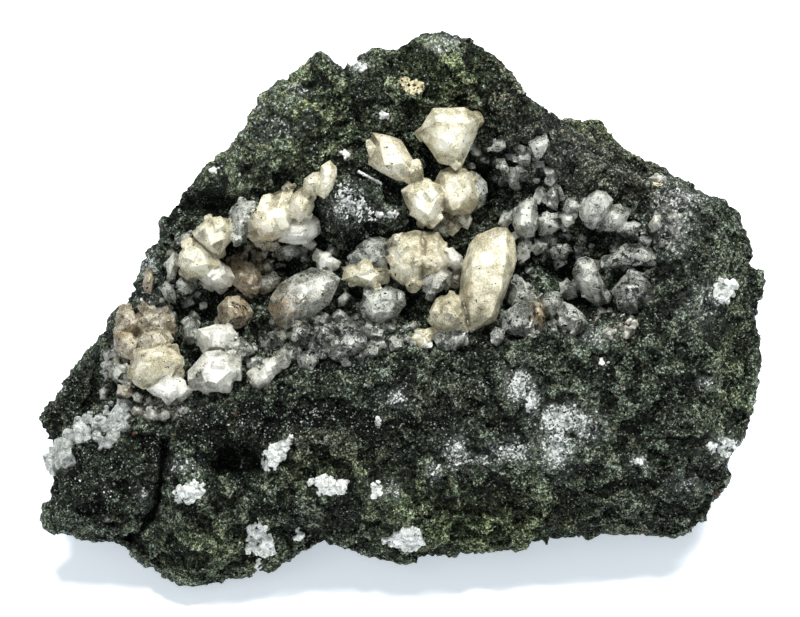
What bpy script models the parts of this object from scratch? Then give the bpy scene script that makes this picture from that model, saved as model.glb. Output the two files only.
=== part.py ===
"""Anorthite crystals in a hollow of a dark volcanic rock.

The specimen is a wedge: its display face leans back from its front edge, and its back is steep. Points of the
display face are (u, v, w) in millimetres: u to the right, v up the face and w out of it. Points of the back and the
underside are (x, y, z) in millimetres, z from the surface that the rock stands on. The finished specimen is then
moved so that the middle of its box is over the origin.
"""

import math

import bmesh
import bpy
from mathutils import Matrix, Vector, noise
from mathutils.bvhtree import BVHTree
from mathutils.geometry import delaunay_2d_cdt

MM = 0.001

# Driving sizes
FACE_SLOPE = math.radians(40.0)
FACE_CENTRE = Vector((0.0, 0.0, 19.0)) * MM
MOVE_TO_MIDDLE = Vector((0.0, -0.76, 0.0)) * MM
RIM_SPREAD = 1.002
ROCK_GRID = 1.1 * MM
ROCK_TRIANGLES = 3800
LUMP_SIZE = 6.0 * MM
LUMP_HEIGHT = 0.6 * MM
LUMP_SMOOTHNESS = 0.9
LUMP_OCTAVES = 4
OCTAVE_STEP = 2.0
LEDGE_SIZE = 3.75 * MM
LEDGE_HEIGHT = 0.15 * MM
GAP = 0.3 * MM
CRUST_THICKNESS = 0.7 * MM
VEIN_THICKNESS = 0.9 * MM
PATCH_THICKNESS = 0.7 * MM
CRUST_DETAIL = 0.7
CRYSTAL_ROOT = 2.5
CRYSTAL_WAIST = 0.58
CRYSTAL_ROOT_SPREAD = 0.8
HOLLOW_BOTTOM = -9.0
VEIN_BOTTOM = -3.0
PATCH_BOTTOM = 1.0
PRISM_TOP = 14.0
RAY_START = 28.0

ACROSS = Vector((1.0, 0.0, 0.0))
UP_FACE = Vector((0.0, math.cos(FACE_SLOPE), math.sin(FACE_SLOPE)))
OUT_OF_FACE = Vector((0.0, -math.sin(FACE_SLOPE), math.cos(FACE_SLOPE)))

# The rock's edge as it shows from the front, clockwise from the top
RIM = (
    (3.4, 26.5, 0.5), (6.6, 25.7, 1.0), (9.4, 23.8, 1.0), (11.8, 20.7, 0.5), (13.8, 18.2, 0.0), (15.4, 18.1, -1.0),
    (16.6, 17.8, -10.0), (19.0, 17.5, -12.0), (20.2, 16.0, -12.0), (23.2, 14.3, -12.0), (28.4, 11.9, -12.0),
    (31.2, 9.4, -11.0), (32.8, 8.2, -5.0), (33.4, 5.5, -2.0), (34.6, 3.0, -1.5), (34.2, 0.6, -1.0),
    (33.8, -2.0, 0.0), (34.0, -5.0, 0.0), (33.2, -9.0, 0.5), (32.7, -12.8, 0.5), (31.0, -15.0, 1.0),
    (30.8, -17.4, 1.0), (29.0, -20.1, 0.5), (26.9, -21.6, 0.0), (20.7, -21.8, 0.0), (15.6, -22.3, 0.0),
    (10.4, -23.1, 0.0), (5.0, -23.4, 0.0), (0.5, -24.2, 0.0), (-3.6, -23.7, 0.0), (-6.4, -22.2, 1.0),
    (-8.7, -22.7, 0.5), (-10.2, -24.0, 0.0), (-13.1, -25.0, 0.0), (-17.0, -26.3, -0.5), (-20.4, -25.5, 0.0),
    (-23.7, -24.5, 0.0), (-26.1, -22.7, 0.5), (-29.4, -21.9, 0.5), (-33.2, -21.5, 0.5), (-34.3, -19.3, 0.5),
    (-33.2, -16.6, 0.5), (-32.8, -13.5, -0.5), (-34.4, -11.5, -3.5), (-33.2, -8.7, -6.5), (-30.4, -4.9, -7.5),
    (-27.1, -0.4, -6.0), (-25.2, 2.4, -4.0), (-23.2, 6.2, -2.0), (-22.0, 8.9, 0.0), (-20.6, 11.2, 0.5),
    (-18.4, 13.6, 0.5), (-15.8, 15.1, 1.0), (-14.2, 17.7, 1.0), (-12.8, 20.4, 1.0), (-9.6, 22.6, 1.0),
    (-7.4, 25.3, 1.0), (-5.6, 22.7, 1.0), (-3.2, 24.4, 1.0), (0.4, 25.1, 1.0),
)

# The front from the lower edge up to the hollow
LOWER_FACE = (
    (-32.0, -20.0, 3.0), (-27.0, -20.8, 3.6), (-21.0, -23.6, 3.0), (-16.5, -24.2, 3.4), (-11.0, -22.6, 3.2),
    (-6.5, -20.4, 4.0), (0.0, -22.0, 3.4), (8.0, -21.2, 3.4), (16.0, -20.2, 3.4), (23.0, -19.8, 3.0),
    (28.4, -17.6, 3.2), (-31.4, -17.0, 4.4), (-27.5, -16.0, 5.6), (-25.6, -18.6, 5.2), (-20.6, -21.0, 5.4),
    (-15.0, -19.6, 6.0), (-9.0, -17.0, 6.6), (-2.0, -17.5, 6.8), (6.0, -16.6, 6.6), (14.0, -16.0, 6.2),
    (22.0, -15.4, 5.6), (29.0, -13.0, 4.0), (-30.6, -13.6, 4.2), (-27.4, -11.4, 5.0), (-23.6, -13.4, 5.8),
    (-17.6, -12.4, 6.6), (-11.0, -11.8, 7.2), (-4.0, -10.4, 7.4), (4.0, -10.8, 7.4), (12.0, -10.0, 7.0),
    (20.0, -9.0, 6.4), (27.0, -7.4, 5.0), (31.4, -5.0, 3.2), (-25.5, -9.6, 4.6), (-19.6, -9.2, 5.2),
    (-14.4, -8.6, 5.8), (-9.6, -8.2, 6.2), (-4.6, -5.8, 6.4), (1.6, -5.4, 6.4), (7.0, -5.0, 6.4),
    (11.6, -4.4, 6.4), (16.4, -3.6, 6.2), (21.4, -2.4, 6.0), (25.4, 0.6, 5.4), (29.6, 0.6, 4.0), (32.2, 2.6, 2.0),
)

# The narrow cleft at the left, the crack and the pit in the front
CLEFTS = (
    (-33.4, -10.6, -0.6), (-31.4, -7.8, -0.6), (-29.2, -5.2, -0.6), (-27.2, -2.6, -0.8),
    (-32.6, -12.0, -3.4), (-30.9, -9.8, -3.8), (-29.2, -7.2, -3.6), (-27.9, -4.8, -3.2),
    (-22.6, -13.4, 3.6), (-22.7, -16.0, 2.8), (-22.9, -18.4, 2.8), (-24.6, -20.6, 2.2),
    (-21.2, -13.0, 6.2), (-21.2, -16.4, 6.2), (-21.4, -18.8, 5.8), (-24.2, -16.0, 6.0),
    (-16.6, -14.0, 2.6), (-14.8, -14.6, 2.8), (-16.6, -15.6, 3.2), (-18.6, -14.6, 6.2), (-15.6, -12.2, 7.0),
    (-12.8, -13.4, 7.2), (-13.0, -16.4, 6.8), (-16.0, -17.4, 6.4), (-18.4, -16.8, 6.2),
)

# The hollow that holds the crystals, with the dark block that stands in it
HOLLOW = (
    (-26.0, -5.6, 1.2), (-25.4, -1.4, 0.0), (-22.6, -3.4, 0.6), (-22.0, 1.8, -0.8), (-18.4, -4.8, 1.4),
    (-17.6, 0.2, -1.2), (-18.4, 4.8, -1.4), (-13.6, -3.4, 0.4), (-12.6, 1.0, -1.4), (-13.8, 6.0, -1.8),
    (-11.0, -5.6, 3.2), (-8.4, 3.6, -2.2), (-9.0, -1.4, 0.8), (-9.6, 8.6, -1.2), (-11.6, 11.6, -0.6),
    (-6.2, -2.6, 2.6), (-4.0, 2.6, -0.4), (0.0, 3.6, 0.0), (1.6, -1.0, 1.6), (3.4, 5.4, -0.4), (6.2, 1.6, 1.0),
    (8.4, 5.4, -0.8), (10.6, -1.2, 2.4), (12.2, 3.2, -1.6), (15.4, 4.8, -2.0), (14.8, -0.6, 1.6),
    (19.0, 1.6, 0.2), (22.6, 2.4, 1.6), (20.2, 6.0, -0.6), (23.4, 6.6, 2.4), (17.4, 8.4, -1.0), (12.4, 8.2, -1.2),
    (8.8, 9.6, -2.0), (3.2, 10.2, -0.6), (4.8, 14.2, -0.4), (9.2, 13.2, -1.2), (1.0, 14.4, -0.4),
    (-1.4, 16.0, 0.0), (12.6, 12.4, -0.4), (20.6, 9.4, 0.4), (6.0, 17.6, 0.4),
    (-7.8, 9.6, 2.8), (-6.8, 12.6, 3.2), (-4.8, 13.6, 3.4), (-2.2, 12.6, 3.4), (-0.4, 10.6, 3.2),
    (-0.8, 8.2, 3.0), (-3.2, 7.0, 2.6), (-6.2, 7.6, 2.6), (-4.4, 10.4, 5.0), (-2.6, 9.8, 4.8), (-6.0, 10.6, 4.6),
    (-5.6, 15.2, 0.6), (-3.6, 5.0, -0.8), (-7.6, 5.8, -1.6), (-9.6, 11.4, 0.0),
)

# The band of rock behind the hollow, up to the top edge and the right ridge
UPPER_BAND = (
    (-20.4, 8.0, 1.6), (-18.6, 11.6, 2.6), (-16.0, 12.6, 3.2), (-12.6, 14.6, 3.6), (-13.4, 17.6, 3.0),
    (-9.0, 16.6, 3.8), (-10.2, 20.4, 3.0), (-5.8, 18.6, 3.4), (-6.6, 21.8, 2.6), (-3.4, 20.6, 3.8),
    (-2.0, 22.0, 1.8), (-0.4, 22.8, 3.4), (-1.2, 19.6, 3.4), (2.6, 21.2, 4.0), (4.2, 24.4, 2.8), (7.0, 21.6, 3.6),
    (8.4, 23.2, 2.6), (9.6, 19.4, 3.4), (12.2, 17.4, 3.4), (14.6, 16.6, 2.0), (15.8, 14.4, 3.4), (18.6, 14.4, 1.6),
    (19.6, 12.0, 3.4), (22.6, 11.6, 2.8), (24.6, 10.6, 3.0), (27.8, 8.6, 1.4), (26.6, 5.6, 4.4), (30.6, 6.2, 1.2), (17.4, 15.8, 0.0),
    (21.4, 13.6, 0.0), (25.6, 11.4, 0.0), (29.6, 9.2, -0.5),
)

# The back and the underside, which the display face hides
BACK = (
    (-27.0, -8.0, -3.0), (-20.0, -13.0, -3.0), (-13.0, -15.0, -3.0), (-6.0, -13.0, -3.0), (2.0, -14.0, -3.0),
    (10.0, -13.0, -3.0), (18.0, -12.0, -3.0), (25.0, -11.0, -3.0), (28.0, -4.0, -3.0), (28.5, 4.0, -3.0),
    (-28.5, -4.0, -2.5), (-26.0, 2.0, -2.5), (-21.0, 8.0, -3.0), (-14.0, 13.0, -3.0), (-5.0, 17.0, -3.0),
    (5.0, 18.5, -3.0), (15.0, 17.0, -3.0), (24.0, 13.0, -3.0), (0.0, 0.0, -4.0), (14.0, 2.0, -4.0),
    (-12.0, 0.0, -4.0), (8.0, 9.0, -4.0), (-6.0, 8.0, -4.0), (20.0, 6.0, -4.0),
    (-31.5, -3.0, 2.0), (-31.0, 1.0, 4.5), (-28.0, 5.0, 7.0), (-23.0, 11.0, 9.0), (-19.0, 14.0, 18.0),
    (-17.0, 16.0, 10.0),
    (-12.0, 18.5, 14.0), (-12.0, 18.0, 24.0), (-5.0, 20.5, 18.0), (-4.0, 20.0, 28.0), (3.0, 21.5, 12.0),
    (4.0, 21.5, 24.0), (6.0, 21.0, 31.0), (12.0, 20.5, 17.0), (13.0, 19.5, 25.0), (20.0, 18.5, 11.0),
    (23.0, 17.5, 18.0), (29.0, 13.0, 9.0), (31.0, 9.0, 14.0), (32.0, 4.0, 7.0), (32.0, -2.0, 8.0),
    (31.0, -8.0, 5.0), (-24.0, 9.0, 15.0),
)

# The part of the hollow that the crystals cover, and the dark block that stays bare
CRUST_OUTLINE = (
    (-28.6, -7.6), (-28.4, -4.4), (-27.2, -1.6), (-25.2, 1.6), (-24.2, 4.6), (-21.6, 7.2), (-19.2, 9.0),
    (-16.0, 10.8), (-12.0, 12.2), (-8.0, 14.4), (-3.4, 17.2), (1.2, 18.6), (4.0, 19.6), (8.0, 19.0), (10.4, 16.8),
    (14.6, 16.8), (15.6, 13.4), (19.4, 11.8), (22.8, 10.6), (25.0, 10.0), (25.6, 7.2), (24.8, 1.4), (23.2, -0.6),
    (20.8, -3.2), (18.8, -3.2), (18.2, -1.6), (17.0, -3.1), (15.4, -2.8), (14.2, -1.8), (12.8, -3.3), (10.6, -2.8),
    (9.2, -4.0), (8.0, -3.2), (7.2, -2.4), (5.4, -4.4), (3.4, -3.8), (2.2, -4.8), (0.6, -3.6), (-0.6, -1.8),
    (-2.2, -3.4), (-4.4, -4.8), (-6.4, -5.2), (-8.4, -6.4), (-10.2, -5.4), (-11.4, -6.4), (-13.2, -8.2), (-14.6, -7.0),
    (-17.2, -8.3), (-19.2, -8.0), (-20.4, -8.8), (-21.6, -10.9), (-24.2, -10.7), (-24.5, -9.2), (-26.0, -8.6),
    (-27.4, -8.2),
)
BARE_BLOCK = (
    (-8.0, 9.2), (-7.6, 11.6), (-5.6, 13.8), (-3.4, 13.6), (-1.8, 11.8), (0.0, 11.0), (0.2, 8.6), (-1.6, 7.2),
    (-4.6, 6.9), (-7.2, 7.4),
)

VEIN_OUTLINE = (
    (-33.4, -15.2), (-32.8, -13.2), (-31.8, -12.8), (-31.2, -11.4), (-29.8, -10.2), (-28.2, -9.5), (-27.2, -9.0),
    (-25.9, -9.2), (-25.2, -9.8), (-25.6, -10.8), (-26.6, -11.4), (-27.0, -13.0), (-28.2, -13.6), (-29.2, -12.3),
    (-30.4, -12.2), (-31.0, -13.4), (-31.6, -15.2),
)

# The larger patches of white grains on the front
PATCH_OUTLINES = (
    ((-10.2, -12.0), (-12.0, -12.9), (-13.0, -13.8), (-12.8, -15.2), (-11.9, -15.4), (-11.2, -14.2), (-10.4, -12.9)),
    ((-18.3, -16.1), (-20.1, -16.5), (-21.7, -17.5), (-21.4, -18.0), (-19.5, -18.3), (-18.6, -17.6)),
    ((-13.4, -19.6), (-12.5, -20.8), (-11.9, -22.9), (-12.7, -23.4), (-14.5, -22.8), (-14.5, -21.0)),
    ((-8.9, -16.4), (-7.2, -15.8), (-4.6, -16.3), (-5.8, -17.4), (-7.9, -17.4)),
    ((-1.5, -21.8), (0.2, -20.9), (2.0, -20.6), (2.4, -21.6), (1.6, -22.8), (-0.4, -22.4)),
    ((29.4, 1.6), (30.4, 2.8), (31.6, 2.6), (31.4, 1.2), (30.2, 0.5)),
)

# Each crystal: how far it stands out of the rock, its outline seen from the front, and the corners of its front
# facets as (u, v) or, where a corner is lower or higher than that, (u, v, difference)
CREAM_CRYSTALS = (
    (5.6, ((1.8, 16.4), (2.8, 15.4), (3.6, 14.2), (4.5, 13.4), (5.8, 13.5), (6.9, 15.4), (7.5, 17.3), (7.3, 18.4),
           (5.6, 19.0), (3.4, 18.8), (2.3, 17.5)),
     ((3.6, 17.7), (5.6, 17.8), (5.7, 15.2), (3.2, 16.0, -0.3), (4.6, 14.6, -0.5))),
    (4.4, ((-2.9, 15.2), (-2.5, 16.5), (-0.9, 16.2), (0.1, 15.8), (0.7, 13.7), (2.0, 12.6), (1.1, 12.0), (-0.3, 12.1),
           (-1.9, 13.0), (-2.9, 13.6)),
     ((-1.9, 15.6), (-0.5, 15.3), (0.2, 13.4), (-1.5, 13.6), (0.9, 12.7, -0.4))),
    (5.4, ((0.2, 11.1), (1.2, 11.8), (2.6, 12.0), (3.7, 11.6), (4.1, 10.9), (4.0, 9.3), (3.3, 8.0), (2.2, 8.0),
           (1.3, 8.8), (0.6, 9.9)),
     ((1.4, 10.9, -0.3), (2.8, 11.2, -0.4), (3.4, 10.2), (2.7, 8.8, 0.1), (1.6, 9.5))),
    (4.8, ((3.5, 12.3), (3.9, 13.0), (5.0, 13.4), (6.2, 13.1), (6.9, 12.4), (7.3, 10.2), (6.7, 9.1), (5.2, 9.0),
           (4.0, 9.4)),
     ((4.3, 12.3), (5.9, 12.3), (6.5, 10.6), (5.2, 9.8, 0.1), (4.3, 10.5))),
    (7.2, ((9.4, 7.6), (10.1, 7.3), (10.8, 6.3), (11.1, 4.5), (10.6, 3.0), (10.0, 0.8), (9.4, -0.6), (8.8, -1.4),
           (7.2, -1.8), (6.2, -1.6), (5.6, 0.9), (5.5, 2.2), (6.2, 3.4), (6.4, 4.8), (6.9, 6.0), (8.0, 7.1)),
     ((8.0, 5.9, -0.5), (9.5, 6.1, -0.5), (10.2, 4.6, -0.7), (9.8, 2.4, -0.5), (8.8, 0.2, -0.9), (7.2, 0.2, -1.0),
      (6.9, 3.6, -0.8), (8.4, 3.4))),
    (5.2, ((2.6, -1.1), (3.2, -0.1), (3.8, 0.8), (4.8, 1.5), (5.8, 1.0), (6.3, -0.6), (6.3, -2.1), (3.6, -2.1)),
     ((3.9, -0.8, -0.3), (4.8, 0.4, -0.1), (5.5, -0.8, 0.2), (4.6, -1.5, -0.1))),
    (4.8, ((-1.0, 5.9), (0.3, 7.0), (1.4, 7.3), (2.4, 7.3), (2.6, 4.0), (1.5, 2.1), (0.1, 2.4), (-0.7, 3.1),
           (-0.9, 4.3)),
     ((0.3, 6.0, -0.3), (1.8, 6.3, -0.2), (1.8, 4.0), (0.2, 3.8, -0.3))),
    (5.2, ((1.8, 7.2), (3.6, 7.1), (4.3, 6.0), (4.1, 5.3), (4.6, 4.1), (3.6, 2.9), (2.2, 3.1), (1.6, 4.8)),
     ((2.6, 6.3, -0.3), (3.5, 5.4, -0.1), (3.4, 3.9, -0.1), (2.4, 4.3))),
    (4.6, ((-5.4, 2.7), (-5.2, 3.6), (-4.7, 4.4), (-3.0, 4.4), (-1.4, 3.4), (-1.8, 2.7), (-2.2, 1.9), (-3.6, 2.1),
           (-4.7, 2.6)),
     ((-4.3, 3.7, -0.3), (-3.0, 3.8), (-2.3, 3.1), (-2.8, 2.6, 0.1), (-4.1, 3.1))),
    (5.4, ((-14.6, 8.0), (-14.3, 9.2), (-12.7, 9.8), (-11.2, 10.9), (-10.3, 10.9), (-10.0, 9.0), (-10.6, 7.4),
           (-12.0, 6.5), (-13.4, 6.5), (-14.2, 7.2)),
     ((-13.3, 8.6, -0.3), (-11.6, 9.6, -0.4), (-10.9, 8.4, -0.1), (-12.3, 7.5), (-13.4, 7.6, -0.1))),
    (5.0, ((-10.8, 9.4), (-10.2, 10.7), (-9.3, 11.4), (-8.2, 10.7), (-8.1, 9.7), (-8.5, 8.7), (-9.6, 8.5),
           (-10.6, 8.8)),
     ((-9.9, 10.1, -0.1), (-8.9, 10.3, -0.2), (-9.2, 9.2, 0.1))),
    (4.2, ((-9.2, 11.0), (-9.0, 12.2), (-8.2, 12.8), (-7.4, 12.9), (-7.2, 12.0), (-7.9, 10.6)),
     ((-8.5, 11.9), (-7.8, 12.0))),
    (3.4, ((-7.9, 10.9), (-7.7, 11.8), (-7.4, 13.4), (-6.6, 13.9), (-6.0, 13.2), (-6.0, 12.4), (-6.4, 11.3),
           (-7.1, 10.4)),
     ((-7.1, 12.9, -0.3), (-6.5, 12.8, -0.2), (-7.0, 11.3, 0.1))),
    (4.8, ((-19.4, 6.8), (-19.2, 7.6), (-18.1, 8.5), (-17.3, 8.6), (-16.1, 8.4), (-15.9, 7.4), (-16.0, 6.5),
           (-17.0, 5.2), (-17.7, 5.2), (-18.8, 6.2)),
     ((-18.4, 7.6, -0.2), (-16.9, 7.8, -0.1), (-16.6, 6.6), (-17.8, 6.0))),
    (5.0, ((-20.9, 4.2), (-20.8, 5.2), (-19.9, 6.1), (-19.0, 6.3), (-17.5, 5.2), (-16.9, 4.0), (-18.0, 3.1),
           (-20.1, 3.0)),
     ((-19.8, 5.0, -0.3), (-18.6, 5.2, -0.1), (-18.2, 4.2), (-19.6, 3.9, -0.1))),
    (5.4, ((-24.6, -4.1), (-22.9, -3.7), (-21.6, -3.8), (-20.5, -4.6), (-20.4, -5.3), (-21.3, -6.5), (-22.7, -7.0),
           (-24.1, -7.5), (-24.9, -7.1), (-25.4, -6.2), (-25.1, -5.3)),
     ((-24.1, -5.0, -0.3), (-22.6, -4.5, -0.1), (-21.4, -5.0, -0.3), (-22.4, -6.1), (-24.0, -6.4, -0.3))),
    (2.2, ((1.0, -2.8), (1.8, -2.1), (3.0, -1.8), (3.6, -2.2), (2.9, -3.4), (2.2, -4.4), (1.2, -3.6)),
     ((2.0, -2.8, -0.1), (2.7, -2.5, -0.1), (2.1, -3.6))),
)
WHITE_CRYSTALS = (
    (5.2, ((4.1, 5.6), (4.9, 5.7), (5.9, 4.9), (5.9, 3.9), (5.1, 3.6), (4.4, 4.3)), ((4.8, 5.1), (5.4, 4.5, -0.1))),
    (3.4, ((5.2, 8.9), (6.5, 9.3), (6.8, 8.4), (6.4, 7.5), (5.4, 8.0)), ((6.0, 8.5),)),
    (4.2, ((-8.3, 4.9), (-7.9, 5.7), (-6.8, 5.0), (-5.6, 4.4), (-5.9, 3.8), (-6.6, 3.4), (-7.6, 4.0)),
     ((-7.5, 4.9), (-6.4, 4.3))),
    (5.0, ((-11.3, 7.8), (-9.9, 8.6), (-8.5, 8.8), (-7.9, 7.8), (-7.8, 7.0), (-8.7, 6.2), (-9.9, 6.1), (-11.4, 6.4)),
     ((-10.2, 7.7, -0.1), (-8.9, 7.8, -0.2), (-9.2, 6.9, -0.1), (-10.6, 6.9))),
    (4.6, ((-18.9, 3.6), (-17.2, 4.4), (-16.2, 3.9), (-15.6, 2.9), (-16.0, 2.1), (-17.0, 1.9), (-18.2, 2.2),
           (-19.1, 2.9)),
     ((-17.8, 3.5), (-16.7, 3.3, -0.1), (-17.2, 2.6))),
    (4.2, ((-23.8, -7.6), (-22.7, -6.9), (-21.2, -6.4), (-20.3, -6.8), (-20.1, -7.6), (-20.6, -8.3), (-22.0, -8.5),
           (-23.1, -8.2)),
     ((-22.8, -7.5, -0.2), (-21.1, -7.2, -0.2), (-21.9, -7.8))),
    (4.4, ((-19.1, -3.2), (-19.0, -2.0), (-17.4, -1.5), (-16.0, -1.7), (-15.4, -2.5), (-16.0, -3.4), (-17.1, -4.0),
           (-18.6, -4.2)),
     ((-18.3, -2.6, -0.2), (-16.8, -2.3, -0.2), (-17.5, -3.3))),
    (4.6, ((-19.9, -6.9), (-19.9, -5.9), (-19.0, -4.9), (-18.4, -4.2), (-17.0, -4.0), (-15.7, -4.5), (-15.1, -5.4),
           (-15.1, -6.2), (-16.0, -7.1), (-17.2, -7.8), (-18.4, -7.8), (-19.3, -7.5)),
     ((-18.7, -6.1, -0.2), (-17.9, -4.9, -0.2), (-16.4, -5.0), (-16.0, -5.9), (-17.1, -6.9), (-18.3, -6.9, -0.2))),
    (2.6, ((-10.6, -4.4), (-11.4, -4.2), (-12.3, -5.0), (-13.1, -5.9), (-13.9, -6.6), (-13.9, -7.3), (-13.2, -7.7),
           (-12.6, -7.5), (-12.0, -6.6), (-11.7, -5.5)),
     ((-13.0, -6.7), (-12.2, -5.6), (-11.3, -4.8, -0.4))),
    (2.4, ((-22.2, 4.4), (-21.4, 5.3), (-20.9, 5.0), (-21.0, 4.0), (-21.3, 2.8), (-21.9, 2.6)), ((-21.5, 4.3),)),
    (1.7, ((-23.9, -9.9), (-23.5, -9.2), (-22.9, -9.7), (-22.8, -10.5), (-23.4, -10.3)), ((-23.3, -9.8),)),
    (1.7, ((-22.8, -10.1), (-22.4, -9.4), (-21.7, -9.7), (-21.7, -10.3), (-22.4, -10.5)), ((-22.2, -9.9),)),
    (2.0, ((-25.2, -8.2), (-24.8, -7.8), (-24.2, -8.3), (-24.4, -8.9), (-25.0, -8.7)), ((-24.7, -8.3),)),
    (2.6, ((15.2, 8.8), (15.9, 9.1), (16.7, 8.9), (16.5, 8.1), (15.8, 7.7), (15.4, 8.1)), ((16.0, 8.5),)),
    (1.8, ((23.4, 7.9), (24.0, 8.8), (24.6, 8.8), (24.6, 7.6), (23.8, 7.2)), ((24.1, 8.1),)),
    (1.6, ((19.0, -2.3), (19.6, -1.7), (20.3, -2.1), (20.0, -2.8), (19.3, -2.9)), ((19.6, -2.3),)),
)
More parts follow.
